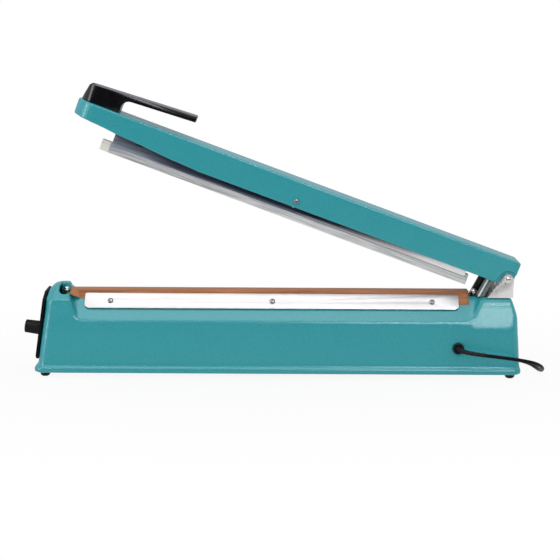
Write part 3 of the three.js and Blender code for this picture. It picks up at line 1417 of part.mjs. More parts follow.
// The part stands on its feet, with its origin below the middle of its box.
const knobOut = new THREE.Vector3(knobSeat - knobLength, 0, knobHeight - knobTipRadius);
wall.updateMatrix();
knobOut.applyMatrix4(wall.matrix);
base.position.x = -mid(knobOut.x, halfLength);

export default part;
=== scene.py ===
# %% [markdown]
# # A hand bag sealer, dressed for a photograph
# The mechanical model of the sealer is finished: every piece has its size and its place, and the
# pieces are grouped into bodies that move. This lesson gives them paint, plastic, steel, cloth and
# cord, and light. It starts by loading that model as a fixed frame, so that nothing has to be fitted.

import math

import bmesh
import bpy
from mathutils import Matrix, Vector


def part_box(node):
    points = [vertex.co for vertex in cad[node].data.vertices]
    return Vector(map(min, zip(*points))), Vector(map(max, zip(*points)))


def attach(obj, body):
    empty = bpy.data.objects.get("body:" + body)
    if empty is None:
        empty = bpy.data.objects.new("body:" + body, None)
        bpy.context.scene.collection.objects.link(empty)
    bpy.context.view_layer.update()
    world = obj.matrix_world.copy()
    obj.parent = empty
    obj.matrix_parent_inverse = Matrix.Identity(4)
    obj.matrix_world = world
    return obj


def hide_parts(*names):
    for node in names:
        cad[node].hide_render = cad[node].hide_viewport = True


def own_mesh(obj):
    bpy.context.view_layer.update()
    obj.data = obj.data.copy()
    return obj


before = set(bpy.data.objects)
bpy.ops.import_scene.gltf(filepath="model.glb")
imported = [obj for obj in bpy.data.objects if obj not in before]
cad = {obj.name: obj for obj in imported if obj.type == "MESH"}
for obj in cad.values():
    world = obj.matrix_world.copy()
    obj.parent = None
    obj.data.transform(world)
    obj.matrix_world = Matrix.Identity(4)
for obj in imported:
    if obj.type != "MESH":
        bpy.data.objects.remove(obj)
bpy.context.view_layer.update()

# %% [markdown]
# ## Places
# The sealer is measured in millimetres, and Blender works in metres. One matrix for each part turns
# its own millimetres into places in the frame: the base, the arm that is turned open about its hinge,
# the left wall that leans in, and the two slopes beside the bed. A piece is modelled lying straight,
# and its matrix puts it in place, which saves turning each object by hand.

# %% Matrices that turn millimetres into places
mm = 0.001
scale = Matrix.Scale(mm, 4)


def moved(x, y, z):
    return Matrix.Translation((x, y, z))


def place(x, y, z):
    return moved(x * mm, y * mm, z * mm)


def turn(degrees, axis):
    return Matrix.Rotation(math.radians(degrees), 4, axis)


seat_gap = 0.3
base_shift = 7.3
block_top = 87.5
open_angle = 20.2
float_travel = 8.5
arm_top = 22.4
arm_top_wall = 3
wall_foot = 265.158
wall_lean = 7.7
flank_lean = 19
slope_foot, slope_foot_height = 32, 62
slope_rise, slope_run = 26, 24
slope_angle = math.degrees(math.atan2(slope_rise, slope_run))
slope_length = math.hypot(slope_rise, slope_run)
pivot = (251.6, 0, 107.5)
on_base = place(base_shift, 0, 0) @ scale
on_arm = place(base_shift + pivot[0], 0, pivot[2]) @ turn(open_angle, "Y") @ scale
on_wall = place(base_shift - wall_foot, 0, 0) @ turn(wall_lean, "Y") @ scale
on_front_slope = place(base_shift, -slope_foot, slope_foot_height) @ turn(slope_angle, "X") @ scale
on_rear_slope = (place(base_shift, slope_foot, slope_foot_height) @ turn(180, "Z")
                 @ turn(slope_angle, "X") @ scale)
print("slope:", round(slope_angle, 1), "degrees,", round(slope_length, 1), "mm")

# %% [markdown]
# ## The camera
# The photograph was taken from a little above the sealer, with a long lens, so that its front edge
# and its back edge are almost the same length. A camera 1.6 m away that looks down by 11 degrees
# gives the same lines. The tiny turn about its own axis matches a base that isn't quite level.

# %% Camera
camera_distance = 1.6
look_down = 11
camera_roll = 0.3
aim_height = 0.1028
camera_data = bpy.data.cameras.new("camera")
camera_data.lens = 92.9
camera_data.sensor_width = 36
camera_data.shift_x = 2 / 560
camera = bpy.data.objects.new("camera", camera_data)
bpy.context.scene.collection.objects.link(camera)
camera.rotation_mode = "ZYX"
camera.rotation_euler = (math.radians(90 - look_down), 0, math.radians(camera_roll))
camera.location = (
    base_shift * mm,
    -camera_distance * math.cos(math.radians(look_down)),
    aim_height + camera_distance * math.sin(math.radians(look_down)),
)
bpy.context.scene.camera = camera
print("camera at", [round(v, 3) for v in camera.location])

# %% [markdown]
# ## Keeping a piece
# Each new piece is made in a bmesh, which is Blender's mesh with its editing operators. When its
# shape is done it goes through one door: it is put in place, gets its finish, rides on the body that
# carries it, and hides the plain solid that it stands for. Faces that meet at a small angle are shaded
# as one smooth surface, and those at a large angle keep their crease.

# %% Helpers that make and keep a piece
def new_object(name, data):
    thing = bpy.data.objects.new(name, data)
    bpy.context.scene.collection.objects.link(thing)
    return thing


def shape_of(mesh):
    shape = bmesh.new()
    shape.from_mesh(mesh)
    return shape


def mesh_from(name, shape):
    mesh = bpy.data.meshes.new(name)
    shape.to_mesh(mesh)
    shape.free()
    return mesh


def mesh_of(piece):
    """The piece's mesh with its modifiers applied."""
    graph = bpy.context.evaluated_depsgraph_get()
    return bpy.data.meshes.new_from_object(piece.evaluated_get(graph))


def join_in(shape, part):
    """Adds the second shape to the first."""
    hold = mesh_from("part", part)
    shape.from_mesh(hold)
    bpy.data.meshes.remove(hold)


def put(shape, where, verts=None):
    bmesh.ops.transform(shape, matrix=where, verts=verts or shape.verts)


def extruded(shape, face):
    """Extrudes a face and gives back the new vertices, which are still in its plane."""
    grown = bmesh.ops.extrude_face_region(shape, geom=[face])
    return [v for v in grown["geom"] if isinstance(v, bmesh.types.BMVert)]


def keep(name, shape, where, body, finish, stands_for=(), crease=35):
    put(shape, where)
    bmesh.ops.recalc_face_normals(shape, faces=shape.faces)
    return keep_mesh(name, mesh_from(name, shape), body, finish, stands_for, crease)


def keep_mesh(name, mesh, body, finish, stands_for=(), crease=35):
    mesh.shade_smooth()
    mesh.set_sharp_from_angle(angle=math.radians(crease))
    mesh.materials.clear()
    mesh.materials.append(finish)
    piece = new_object(name, mesh)
    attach(piece, body)
    if stands_for:
        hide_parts(*stands_for)
    print(f"{name}: {len(mesh.polygons)} faces")
    return piece


# %% [markdown]
# ## Softening a hard solid
# A mechanical model has knife edges, and nothing cast, moulded or folded has them. Rounded edges
# catch light, which is most of what makes a solid look made. The copy below merges the solid's loose
# triangles, joins flat areas into single faces, and bevels every long edge that is sharp enough.
# Short edges are left out, because a bevel wider than an edge tears it.

# %% Helper that softens a solid
def softened(node, name, body, finish, width=0.0, segments=3, sharp=30, shortest=0.0, crease=35):
    """width and shortest are in millimetres, sharp and crease in degrees."""
    shape = shape_of(cad[node].data)
    bmesh.ops.remove_doubles(shape, verts=shape.verts, dist=0.02 * mm)
    bmesh.ops.dissolve_limit(
        shape, angle_limit=math.radians(0.6), verts=shape.verts, edges=shape.edges,
        use_dissolve_boundaries=False,
    )
    if width > 0:
        limit = math.radians(sharp)
        edges = [
            e for e in shape.edges
            if len(e.link_faces) == 2 and e.calc_face_angle(0) > limit and e.calc_length() > shortest * mm
        ]
        bmesh.ops.bevel(
            shape, geom=edges, offset=width * mm, offset_type="OFFSET", affect="EDGES", segments=segments,
            profile=0.5, material=-1, clamp_overlap=True, loop_slide=True,
        )
    bmesh.ops.triangulate(shape, faces=[f for f in shape.faces if len(f.verts) > 4])
    return keep_mesh(name, mesh_from(name, shape), body, finish, (node,), crease)


# %% [markdown]
# ## A cast skin
# A casting has no edge at all: metal and thick paint round every corner, and the roundings flow into
# each other. A bevel can't do that on a shape this busy. So the solid is rebuilt as a skin of small
# even quads, and each vertex is drawn towards the middle of its neighbours a few times. Flat areas
# stay where they are and every edge melts into a fillet, a bigger one where more rounds are given. At
# the end the quads that flat areas don't need are joined.

# %% Helper that casts a skin
def cast_skin(node, name, body, finish, where, quad, rounds, kept_share, filling=None):
    """rounds is a list of pairs: how many times to smooth, and a test that picks the vertices."""
    data = cad[node].data.copy()
    data.transform(where.inverted())
    if filling:
        whole = shape_of(data)
        whole.from_mesh(filling)
        whole.to_mesh(data)
        whole.free()
    blank = new_object("blank", data)
    even = blank.modifiers.new("even quads", "REMESH")
    even.mode = "VOXEL"
    even.voxel_size = quad
    shape = shape_of(mesh_of(blank))
    for times, picked in rounds:
        verts = [v for v in shape.verts if picked(v.co)]
        for _ in range(times):
            bmesh.ops.smooth_vert(
                shape, verts=verts, factor=0.5, use_axis_x=True, use_axis_y=True, use_axis_z=True,
            )
    put(shape, where)
    shape.to_mesh(data)
    shape.free()
    blank.modifiers.clear()
    fewer = blank.modifiers.new("fewer faces", "DECIMATE")
    fewer.ratio = kept_share
    mesh = mesh_of(blank)
    bpy.data.objects.remove(blank)
    return keep_mesh(name, mesh, body, finish, (node,), 180)


# %% [markdown]
# ## Turned and swept shapes
# Screws, pins, feet and the gland are turned pieces: a profile from the axis outwards is spun once
# round. Springs are swept: a small circle is spun many times while it climbs. Both are the spin
# operator. A cord or a strain relief follows a drawn line, which a curve object does best.

# %% Helpers for turned, swept and drawn shapes
def turned(profile, steps=32):
    shape = bmesh.new()
    verts = [shape.verts.new((radius, 0, height)) for radius, height in profile]
    edges = [shape.edges.new((a, b)) for a, b in zip(verts, verts[1:])]
    bmesh.ops.spin(
        shape, geom=verts + edges, cent=(0, 0, 0), axis=(0, 0, 1), dvec=(0, 0, 0), angle=2 * math.pi,
        steps=steps, use_merge=True, use_duplicate=False,
    )
    bmesh.ops.remove_doubles(shape, verts=shape.verts, dist=0.0005)
    bmesh.ops.recalc_face_normals(shape, faces=shape.faces)
    return shape


def coil_spring(radius, wire, turns, length, steps=24):
    shape = bmesh.new()
    bmesh.ops.create_circle(shape, cap_ends=True, radius=wire / 2, segments=10)
    put(shape, moved(radius, 0, wire / 2) @ turn(90, "X"))
    climb = (length - wire) / (turns * steps)
    bmesh.ops.spin(
        shape, geom=shape.verts[:] + shape.edges[:] + shape.faces[:], cent=(0, 0, 0), axis=(0, 0, 1),
        dvec=(0, 0, climb), angle=2 * math.pi * turns, steps=int(turns * steps), use_merge=False,
        use_duplicate=False,
    )
    bmesh.ops.remove_doubles(shape, verts=shape.verts, dist=0.001)
    return shape


def between(a, b, start, end, t):
    """Where t lies on the line that is at a at the start and at b at the end."""
    return a * ((end - t) / (end - start)) + b * ((t - start) / (end - start))


def smooth_line(points, steps=12):
    """A smooth line through the points: a centripetal Catmull-Rom spline, as the solids follow."""
    knots = [Vector(p) for p in points]
    first = knots[0] * 2 - knots[1]
    last = knots[-1] * 2 - knots[-2]
    knots = [first, *knots, last]
    line = [knots[1]]
    for a, b, c, d in zip(knots, knots[1:], knots[2:], knots[3:]):
        t1 = math.sqrt((b - a).length)
        t2 = t1 + math.sqrt((c - b).length)
        t3 = t2 + math.sqrt((d - c).length)
        for step in range(1, steps + 1):
            t = t1 + (t2 - t1) * step / steps
            middle = between(b, c, t1, t2, t)
            before = between(between(a, b, 0, t1, t), middle, 0, t2, t)
            after = between(middle, between(c, d, t2, t3, t), t1, t3, t)
            line.append(between(before, after, t1, t2, t))
    return line


def drawn_tube(name, line, radius_at, resolution=4):
    """A tube along a line in metres. radius_at gives its radius in mm at each share of the line."""
    data = bpy.data.curves.new(name, "CURVE")
    data.dimensions = "3D"
    data.bevel_depth = mm
    data.bevel_resolution = resolution
    data.use_fill_caps = True
    data.twist_mode = "MINIMUM"
    spline = data.splines.new("POLY")
    spline.points.add(len(line) - 1)
    for index, (point, spot) in enumerate(zip(spline.points, line)):
        point.co = (*spot, 1)
        point.radius = radius_at(index / (len(line) - 1))
    return new_object(name, data)


# %% [markdown]
# ## Finishes
# Every material is built from nodes, so that it has no image to lose. A pattern reads Object
# coordinates: they are metres, so a scale of 400 makes grains of about 2.5 mm, and they stay on the
# piece when the arm moves. Each small helper below adds a node and fills its sockets in one line.

# %% Helpers for materials
def new_finish(name, colour, roughness, metallic=0.0, **constants):
    finish = bpy.data.materials.new(name)
    finish.use_nodes = True
    shader = finish.node_tree.nodes["Principled BSDF"]
    shader.inputs["Base Color"].default_value = (*colour, 1)
    shader.inputs["Roughness"].default_value = roughness
    shader.inputs["Metallic"].default_value = metallic
    for socket, value in constants.items():
        shader.inputs[socket.replace("_", " ")].default_value = value
    finish.diffuse_color = (*colour, 1)
    return finish, finish.node_tree, shader


def feed(tree, value, socket):
    """Links the socket to another node's output, or gives it a plain value."""
    if isinstance(value, bpy.types.NodeSocket):
        tree.links.new(value, socket)
    else:
        socket.default_value = value


def add_node(tree, kind, settings=None, **sockets):
    made = tree.nodes.new("ShaderNode" + kind)
    for setting, value in (settings or {}).items():
        setattr(made, setting, value)
    for name, value in sockets.items():
        feed(tree, value, made.inputs[name.replace("_", " ")])
    return made


def calculated(tree, operation, *values):
    made = add_node(tree, "Math", {"operation": operation})
    for value, socket in zip(values, made.inputs):
        feed(tree, value, socket)
    return made.outputs[0]


def object_places(tree, stretch=(1, 1, 1)):
    spot = add_node(tree, "TexCoord")
    return add_node(tree, "Mapping", Vector=spot.outputs["Object"], Scale=stretch).outputs["Vector"]


def arm_places(tree, stretch=(1, 1, 1)):
    """Object coordinates turned so that X runs along the open arm."""
    spot = add_node(tree, "TexCoord")
    level = (0, -math.radians(open_angle), 0)
    turned_back = add_node(tree, "Mapping", Vector=spot.outputs["Object"], Rotation=level)
    return add_node(tree, "Mapping", Vector=turned_back.outputs["Vector"], Scale=stretch).outputs["Vector"]


def along_arm(tree):
    return add_node(tree, "SeparateXYZ", Vector=arm_places(tree)).outputs["X"]


def grains(tree, places, size, detail=3.0):
    """Noise whose spots are about size millimetres across."""
    noise = add_node(tree, "TexNoise", Vector=places, Scale=1 / (size * mm), Detail=detail, Roughness=0.5)
    return noise.outputs["Fac"]


def mixed(tree, share, first, second):
    """The first colour, and the second one in the given share."""
    blend = tree.nodes.new("ShaderNodeMix")
    blend.data_type = "RGBA"
    sockets = {socket.identifier: socket for socket in blend.inputs}
    feed(tree, share, sockets["Factor_Float"])
    for name, colour in (("A_Color", first), ("B_Color", second)):
        feed(tree, (*colour, 1) if isinstance(colour, tuple) else colour, sockets[name])
    return next(s for s in blend.outputs if s.identifier == "Result_Color")


def stretched(tree, value, low, high, to_low=0.0, to_high=1.0):
    """A value between low and high is spread from to_low to to_high."""
    spread = add_node(tree, "MapRange", Value=value)
    for socket, number in (("From Min", low), ("From Max", high), ("To Min", to_low), ("To Max", to_high)):
        spread.inputs[socket].default_value = number
    return spread.outputs["Result"]


def relief(tree, shader, height, strength, depth):
    bump = add_node(tree, "Bump", Height=height, Strength=strength, Distance=depth * mm)
    tree.links.new(bump.outputs["Normal"], shader.inputs["Normal"])


def coat(tree, shader, tint, roughness=None):
    """Colour, and roughness if it varies, from nodes."""
    tree.links.new(tint, shader.inputs["Base Color"])
    if roughness is not None:
        tree.links.new(roughness, shader.inputs["Roughness"])


def srgb(red, green, blue):
    """A colour read off a screen, 0 to 255, as the light it stands for."""
    def light(value):
        value /= 255
        return value / 12.92 if value <= 0.04045 else ((value + 0.055) / 1.055) ** 2.4
    return (light(red), light(green), light(blue))


# %% [markdown]
# ### Paint
# The castings have a thick glossy paint that dried with a hammered skin: shallow rounded dimples
# about 2 mm across. Smooth Voronoi cells make the dimples and a finer noise breaks them up. They
# hardly show in the colour: it is their slopes that break up the highlights.

# %% Teal paint
def make_paint():
    finish, tree, shader = new_finish("teal_hammered_paint", srgb(44, 155, 165), 0.26, IOR=1.5)
    places = object_places(tree)
    cells = add_node(
        tree, "TexVoronoi", {"feature": "SMOOTH_F1"}, Vector=places, Scale=560, Smoothness=1, Randomness=1,
    ).outputs["Distance"]
    fine = grains(tree, places, 1.1, 3)
    cloud = grains(tree, places, 45, 2)
    relief(tree, shader, calculated(tree, "MULTIPLY_ADD", fine, 0.6, cells), 0.3, 0.25)
    tint = mixed(tree, stretched(tree, cells, 0.1, 0.7), srgb(41, 152, 162), srgb(47, 158, 168))
    shade = mixed(tree, stretched(tree, cloud, 0.35, 0.7, 0.0, 0.3), tint, srgb(38, 152, 161))
    coat(tree, shader, shade, stretched(tree, fine, 0.3, 0.7, 0.2, 0.3))
    return finish


paint = make_paint()
print("made", paint.name)

# %% [markdown]
# ### Plastics and rubber
# The handle is a smooth black moulding whose upper face mirrors the light above it. The end panel and
# the knob are duller, with the fine spark-eroded grain of a mould. Rubber is duller still. All are
# one recipe with other numbers: a base, a fine grain for the bump, and roughness that varies a little.
# The gloss is the refractive index: a low one keeps black faces black against a white floor.

# %% Black mouldings, rubber and cord
def make_moulding(name, colour, roughness, grain, bump, gloss=1.5, vary=0.06):
    finish, tree, shader = new_finish(name, colour, roughness, IOR=gloss)
    places = object_places(tree)
    relief(tree, shader, grains(tree, places, grain, 4), bump, 0.08)
    broad = grains(tree, places, 18, 3)
    lighter = tuple(min(1, c * 1.4 + 0.001) for c in colour)
    tint = mixed(tree, stretched(tree, broad, 0.35, 0.75, 0.0, 0.6), colour, lighter)
    coat(tree, shader, tint, stretched(tree, broad, 0.3, 0.7, roughness - vary, roughness + vary))
    return finish


handle_black = make_moulding("handle_black", srgb(7, 7, 12), 0.22, 0.35, 0.06, 1.42)
panel_black = make_moulding("panel_black", srgb(7, 9, 12), 0.5, 0.4, 0.35, 1.16)
knob_black = make_moulding("knob_black", srgb(12, 12, 15), 0.45, 0.3, 0.2, 1.3)
rubber_black = make_moulding("rubber_black", srgb(9, 9, 13), 0.6, 0.5, 0.3, 1.3)
cord_black = make_moulding("cord_black", srgb(8, 9, 12), 0.38, 0.6, 0.12, 1.16)
plastic_black = make_moulding("plastic_black", srgb(9, 9, 11), 0.35, 0.4, 0.15, 1.35)
brown_bakelite = make_moulding("brown_bakelite", srgb(62, 40, 30), 0.4, 0.8, 0.1)
print("made the mouldings")

# %% [markdown]
# ### Metals
# Zinc-plated screws, the bright clamp bars, the drawn steel bar and the springs are all metal, so
# their colour is what they mirror. What sets them apart is how rough they are and which way the
# marks run. Stretching the noise along one axis turns spots into the lines of drawing or brushing.
# The clamp bars are grayer than bare steel, or the lamp above would bleach them, and their screws
# are darker still, so that each head stands out on its bar.

# %% Metals
def make_metal(name, colour, roughness, grain, stretch=(1, 1, 1), bump=0.1, vary=0.08, stain=None):
    finish, tree, shader = new_finish(name, colour, roughness, 1.0)
    lines = grains(tree, object_places(tree, stretch), grain, 4)
    relief(tree, shader, lines, bump, 0.03)
    spots = grains(tree, object_places(tree), 9, 4)
    darker = stain or tuple(c * 0.8 for c in colour)
    tint = mixed(tree, stretched(tree, spots, 0.45, 0.8, 0.0, 0.7), colour, darker)
    coat(tree, shader, tint, stretched(tree, lines, 0.3, 0.7, roughness - vary, roughness + vary))
    return finish


zinc = make_metal("zinc_plating", (0.66, 0.65, 0.63), 0.26, 1.2, bump=0.15)
bright_strip = make_metal(
    "bright_strip", (0.50, 0.49, 0.50), 0.42, 1.0, stretch=(0.03, 1, 1), bump=0.03, vary=0.04,
    stain=(0.46, 0.45, 0.46),
)
bracket_steel = make_metal("bracket_steel", (0.78, 0.765, 0.755), 0.32, 1.5, stretch=(1, 1, 0.2), bump=0.06)
spring_steel = make_metal("spring_steel", (0.52, 0.52, 0.53), 0.3, 0.8)
tube_steel = make_metal("tube_steel", (0.20, 0.225, 0.22), 0.34, 1.0, stretch=(1, 1, 0.2), bump=0.04)
dark_steel = make_metal("dark_steel", (0.26, 0.26, 0.27), 0.3, 1.2, bump=0.1)
cover_steel = make_metal("cover_steel", (0.62, 0.63, 0.64), 0.4, 2.0)
core_steel = make_metal("core_steel", (0.30, 0.31, 0.33), 0.5, 0.5, stretch=(1, 14, 1), bump=0.4)
heating_ribbon = make_metal("heating_ribbon", (0.45, 0.43, 0.40), 0.35, 1.0, stretch=(0.05, 1, 1))
copper = make_metal("enamelled_copper", (0.55, 0.22, 0.09), 0.35, 0.6, stretch=(1, 1, 6), bump=0.5)
brass = make_metal("turned_brass", (0.70, 0.48, 0.20), 0.3, 0.6, stretch=(1, 1, 5))
print("made the metals")

# %% [markdown]
# The pressure bar's channel is drawn steel with a bluish tone. Its colour carries a painted reflection:
# darkest in the middle, grayer towards the free end and bright towards the hinge. A gradient along the
# arm, broken by noise, mixes these painted tones, and its drawing lines run along the arm too.

# %% Drawn steel of the pressure bar
def make_bar_steel():
    finish, tree, shader = new_finish("drawn_steel", (0.3, 0.33, 0.37), 0.3, 1.0)
    lines = grains(tree, arm_places(tree, (0.02, 1, 1)), 0.7, 4)
    relief(tree, shader, lines, 0.12, 0.04)
    cloud = grains(tree, arm_places(tree, (0.08, 1, 1)), 5, 4)
    # The tones along the arm are painted reflection: gray-blue at the free end, dark in the middle and bright
    # towards the hinge.
    along = calculated(tree, "MULTIPLY_ADD", cloud, 0.16, along_arm(tree))
    painted_reflection_tones = mixed(tree, stretched(tree, along, -0.15, -0.08), srgb(150, 160, 176), srgb(92, 98, 118))
    tint = mixed(tree, stretched(tree, along, 0.06, 0.2), painted_reflection_tones, (0.74, 0.73, 0.73))
    coat(tree, shader, tint, stretched(tree, lines, 0.3, 0.7, 0.22, 0.38))
    return finish


bar_steel = make_bar_steel()
print("made", bar_steel.name)

# %% [markdown]
# ### Silicone and coated cloth
# The pad under the bar is milky silicone rubber: light goes a little way in, which the subsurface
# setting imitates. Gray streaks run along it, the pad turns lighter towards the hinge, and its free
# end, which never touches a bag, is still cream. The brown sheet over the bed is glass cloth with a
# slick coating. Its threads just show, and lighter streaks painted into its colour stand for the shine
# where it is pulled over the bed.

# %% Silicone and cloth
def make_silicone():
    finish, tree, shader = new_finish(
        "milky_silicone", srgb(214, 213, 207), 0.42, Subsurface_Weight=0.15, Subsurface_Scale=0.002,
    )
    along = along_arm(tree)
    # The pad's colour turns lighter towards the hinge.
    lighter_towards_hinge = stretched(tree, along, -0.25, -0.01)
    gray = mixed(tree, lighter_towards_hinge, srgb(140, 141, 148), srgb(196, 196, 198))
    milky = mixed(tree, lighter_towards_hinge, srgb(196, 196, 200), srgb(236, 236, 236))
    streaks = grains(tree, arm_places(tree, (0.03, 1, 1)), 1.0, 4)
    lined = mixed(tree, stretched(tree, streaks, 0.38, 0.62), gray, milky)
    free_end = stretched(tree, along, -0.2525, -0.2505, 1.0, 0.0)
    coat(tree, shader, mixed(tree, free_end, lined, srgb(228, 226, 217)))
    relief(tree, shader, grains(tree, object_places(tree), 1.5, 3), 0.08, 0.1)
    return finish


def make_cloth_finish():
    finish, tree, shader = new_finish("coated_glass_cloth", srgb(180, 123, 88), 0.45, IOR=1.09)
    threads = [
        add_node(
            tree, "TexWave", {"wave_type": "BANDS", "bands_direction": axis}, Vector=object_places(tree),
            Scale=900, Distortion=0.4, Detail=1.0,
        ).outputs["Fac"]
        for axis in "XY"
    ]
    relief(tree, shader, calculated(tree, "MULTIPLY", *threads), 0.2, 0.05)
    streaks = grains(tree, object_places(tree, (0.04, 1, 1)), 2.5, 4)
    # The lighter streaks are painted sheen, where the cloth shines over the bed.
    tint = mixed(tree, stretched(tree, streaks, 0.35, 0.65), srgb(162, 108, 75), srgb(198, 138, 100))
    coat(tree, shader, tint, stretched(tree, streaks, 0.3, 0.7, 0.3, 0.45))
    return finish


silicone = make_silicone()
cloth_finish = make_cloth_finish()
print("made", silicone.name, "and", cloth_finish.name)

# %% [markdown]
# ### Small things inside
# The circuit board, the lamp and the insulated leads are mostly hidden. They still get a finish of
# their own, because the model is seen from below and from inside too.

# %% Board, lamp and leads
def make_board_finish():
    finish, tree, shader = new_finish("green_board", srgb(38, 96, 52), 0.35, Coat_Weight=0.3)
    places = object_places(tree)
    tracks = add_node(tree, "TexBrick", Vector=places, Scale=120, Mortar_Size=0.02).outputs["Fac"]
    coat(tree, shader, mixed(tree, tracks, srgb(34, 88, 48), srgb(70, 132, 78)))
    relief(tree, shader, tracks, 0.3, 0.1)
    return finish


board_finish = make_board_finish()
lamp_red = make_moulding("lamp_red", srgb(170, 30, 22), 0.15, 1.0, 0.03, 1.5, vary=0.03)
lead_red = make_moulding("lead_red", srgb(150, 34, 28), 0.45, 0.6, 0.15)
lead_black = make_moulding("lead_black", srgb(24, 24, 26), 0.45, 0.6, 0.15)
print("made the small finishes")

# %% [markdown]
# ## The cord
# The mains lead comes out of the front through a gland, bends right, passes round the hinge end on
# the table and is wound into a neat coil behind the base, with its plug beside it. It is one curve
# with a real length. A curve suits it better than a mesh, because its centre line stays known. The
# coil is wound inwards in one layer and back outwards in a second layer on top of it.

# %% Cord route
cord_diameter = 4
relief_points = [
    (197.3, -33.4, 34.1), (197.3, -38.4, 34.6), (197.6, -43.6, 35), (200, -50.6, 35.1), (206, -56.6, 34.7),
    (214, -59, 33.9), (224, -59.2, 32.5),
]
cord_points = [
    (229, -59.2, 31.9), (240, -59.3, 30.6), (254, -58.9, 28.6), (266, -56.6, 26.2), (277, -51, 22.6),
    (285.6, -42.4, 17.6), (290.8, -31, 11.8), (292.6, -18, 6.4), (292.4, -4, 3.2), (291, 10, 2.2),
    (288.4, 22, 2.2), (283.4, 33.6, 2.2), (275, 43.4, 2.2), (263.8, 49.6, 2.3), (251, 51.8, 2.7),
    (238, 52, 3), (224, 52, 3.1), (212, 52, 3.1), (204, 52, 3.1),
]
coil_middle = (199.7, 82.35)
coil_inner = 17
coil_pitch = 4.45
coil_rise = 4.5
coil_low = 3.1
outer_turns = 3
inner_turns = outer_turns + 0.25
loop_steps = 48
coil_points = []
for step in range(int(2 * inner_turns * loop_steps) + 1):
    wound = step / loop_steps
    inwards = wound if wound <= inner_turns else 2 * inner_turns - wound
    radius = coil_inner + coil_pitch * outer_turns - coil_pitch * inwards
    climb = min(max((wound - outer_turns) / 0.5, 0), 1)
    angle = -math.pi / 2 - wound * 2 * math.pi
    coil_points.append((
        coil_middle[0] + radius * math.cos(angle), coil_middle[1] + radius * math.sin(angle),
        coil_low + coil_rise * climb,
    ))
coil_end = coil_points[-1]
plug_start = (coil_end[0] + cord_diameter, coil_end[1], coil_end[2])


def to_frame(points):
    return [on_base @ Vector(p) for p in points]


cord_line = smooth_line(to_frame(relief_points + cord_points)) + to_frame(coil_points + [plug_start])

# %% [markdown]
# The strain relief is a second tube along the start of the same line. It gets thinner away from the
# gland and has nine ribs. The gland is turned, and it leans with the wall that it sits in. A strap
# ties the coil, and its solid only needs softer edges.

# %% Cord, strain relief, gland and tie
cord = drawn_tube("power_cord", cord_line, lambda share: cord_diameter / 2)
cord.data.materials.append(cord_black)
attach(cord, "base")
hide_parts("power_cord_run", "power_cord_coil")


def relief_radius(share):
    grooved = 0.08 < share < 0.92 and math.sin(share * 2 * math.pi * 9) > 0
    return 3.1 - 0.85 * share - (0.28 if grooved else 0)


relief_tube = drawn_tube("strain_relief_tube", smooth_line(to_frame(relief_points), 24), relief_radius, 5)
relief_mesh = mesh_of(relief_tube)
bpy.data.objects.remove(relief_tube)
relief_piece = keep_mesh(
    "strain_relief_ribbed", relief_mesh, "base", rubber_black, ("strain_relief",), 50,
)

front_foot, front_foot_height = 36.8, 13
front_rise = slope_foot_height - front_foot_height
gland_height = 34.2
gland_lean = math.degrees(math.atan2(front_foot - slope_foot, front_rise))
gland_out = front_foot + (slope_foot - front_foot) * (gland_height - front_foot_height) / front_rise
at_gland = on_base @ moved(relief_points[0][0], -gland_out, gland_height) @ turn(90 - gland_lean, "X")
gland_shape = turned([
    (3.4, -6), (4.6, -6), (4.6, 0.3), (6.15, 0.3), (6.15, 1.9), (6.0, 2.4), (5.6, 2.8), (5.1, 3.0),
    (3.8, 3.0), (3.4, 2.6), (3.4, -6),
], 40)
keep("cord_gland_turned", gland_shape, at_gland, "base", rubber_black, ("cord_gland",), 50)
tie = softened("cord_tie", "cord_tie_strap", "base", plastic_black, 0.15, 2, 24)

# %% [markdown]
# The plug is a moulded block with a tapered neck and two round pins. A flat outline is extruded and
# its edges are bevelled, the neck and the pins are turned, and the pins get their own bright metal.

# %% Plug
def make_plug():
    at_plug = on_base @ moved(coil_middle[0] + cord_diameter + seat_gap, coil_end[1], coil_end[2])
    shape = bmesh.new()
    outline = [(14, 5.2), (28.4, 13), (50, 13), (50, -13), (28.4, -13), (14, -5.2)]
    face = shape.faces.new([shape.verts.new((x, y, -7.2)) for x, y in outline])
    bmesh.ops.translate(shape, vec=(0, 0, 14.4), verts=extruded(shape, face))
    bmesh.ops.bevel(
        shape, geom=shape.edges[:], offset=2, offset_type="OFFSET", affect="EDGES", segments=4, profile=0.5,
        material=-1,
    )
    neck = turned([(0, 0), (2.7, 0), (2.8, 2), (3.4, 9), (3.7, 17), (0, 17)], 24)
    put(neck, turn(90, "Y"))
    join_in(shape, neck)
    body = keep("plug_body", shape, at_plug, "base", cord_black, ("plug",))
    pins = bmesh.new()
    for side in (-9.5, 9.5):
        pin = turned([(0, 0), (2, 0), (2, 17.6), (1.4, 18.8), (0, 19)], 20)
        put(pin, moved(50, side, 0) @ turn(90, "Y"))
        join_in(pins, pin)
    return body, keep("plug_pins", pins, at_plug, "base", brass)


plug, plug_pins = make_plug()

# %% [markdown]
# ## The castings
# Base and arm are hollow castings. Their solids already have the right form, with the arm's arches
# round the hinge and the saddle that holds the bed, so each gets its cast skin. The two raised ends
# of the base have the largest fillets, and the arm's edges are the crispest. At the left end, the
# pocket of the terminal screw opens towards the back. A small filling, cut to the slant of the flank,
# closes the crest behind the screw before the skin is made.

# %% Base and arm castings
def everywhere(spot):
    return True


def off_the_recess(spot):
    return not (-262 < spot.x < -214 and -14 < spot.y < 4 and spot.z > 84)


def raised_ends(spot):
    return (spot.x < -207 and 45 < spot.z < 84) or (spot.x > 202 and spot.z > 45)


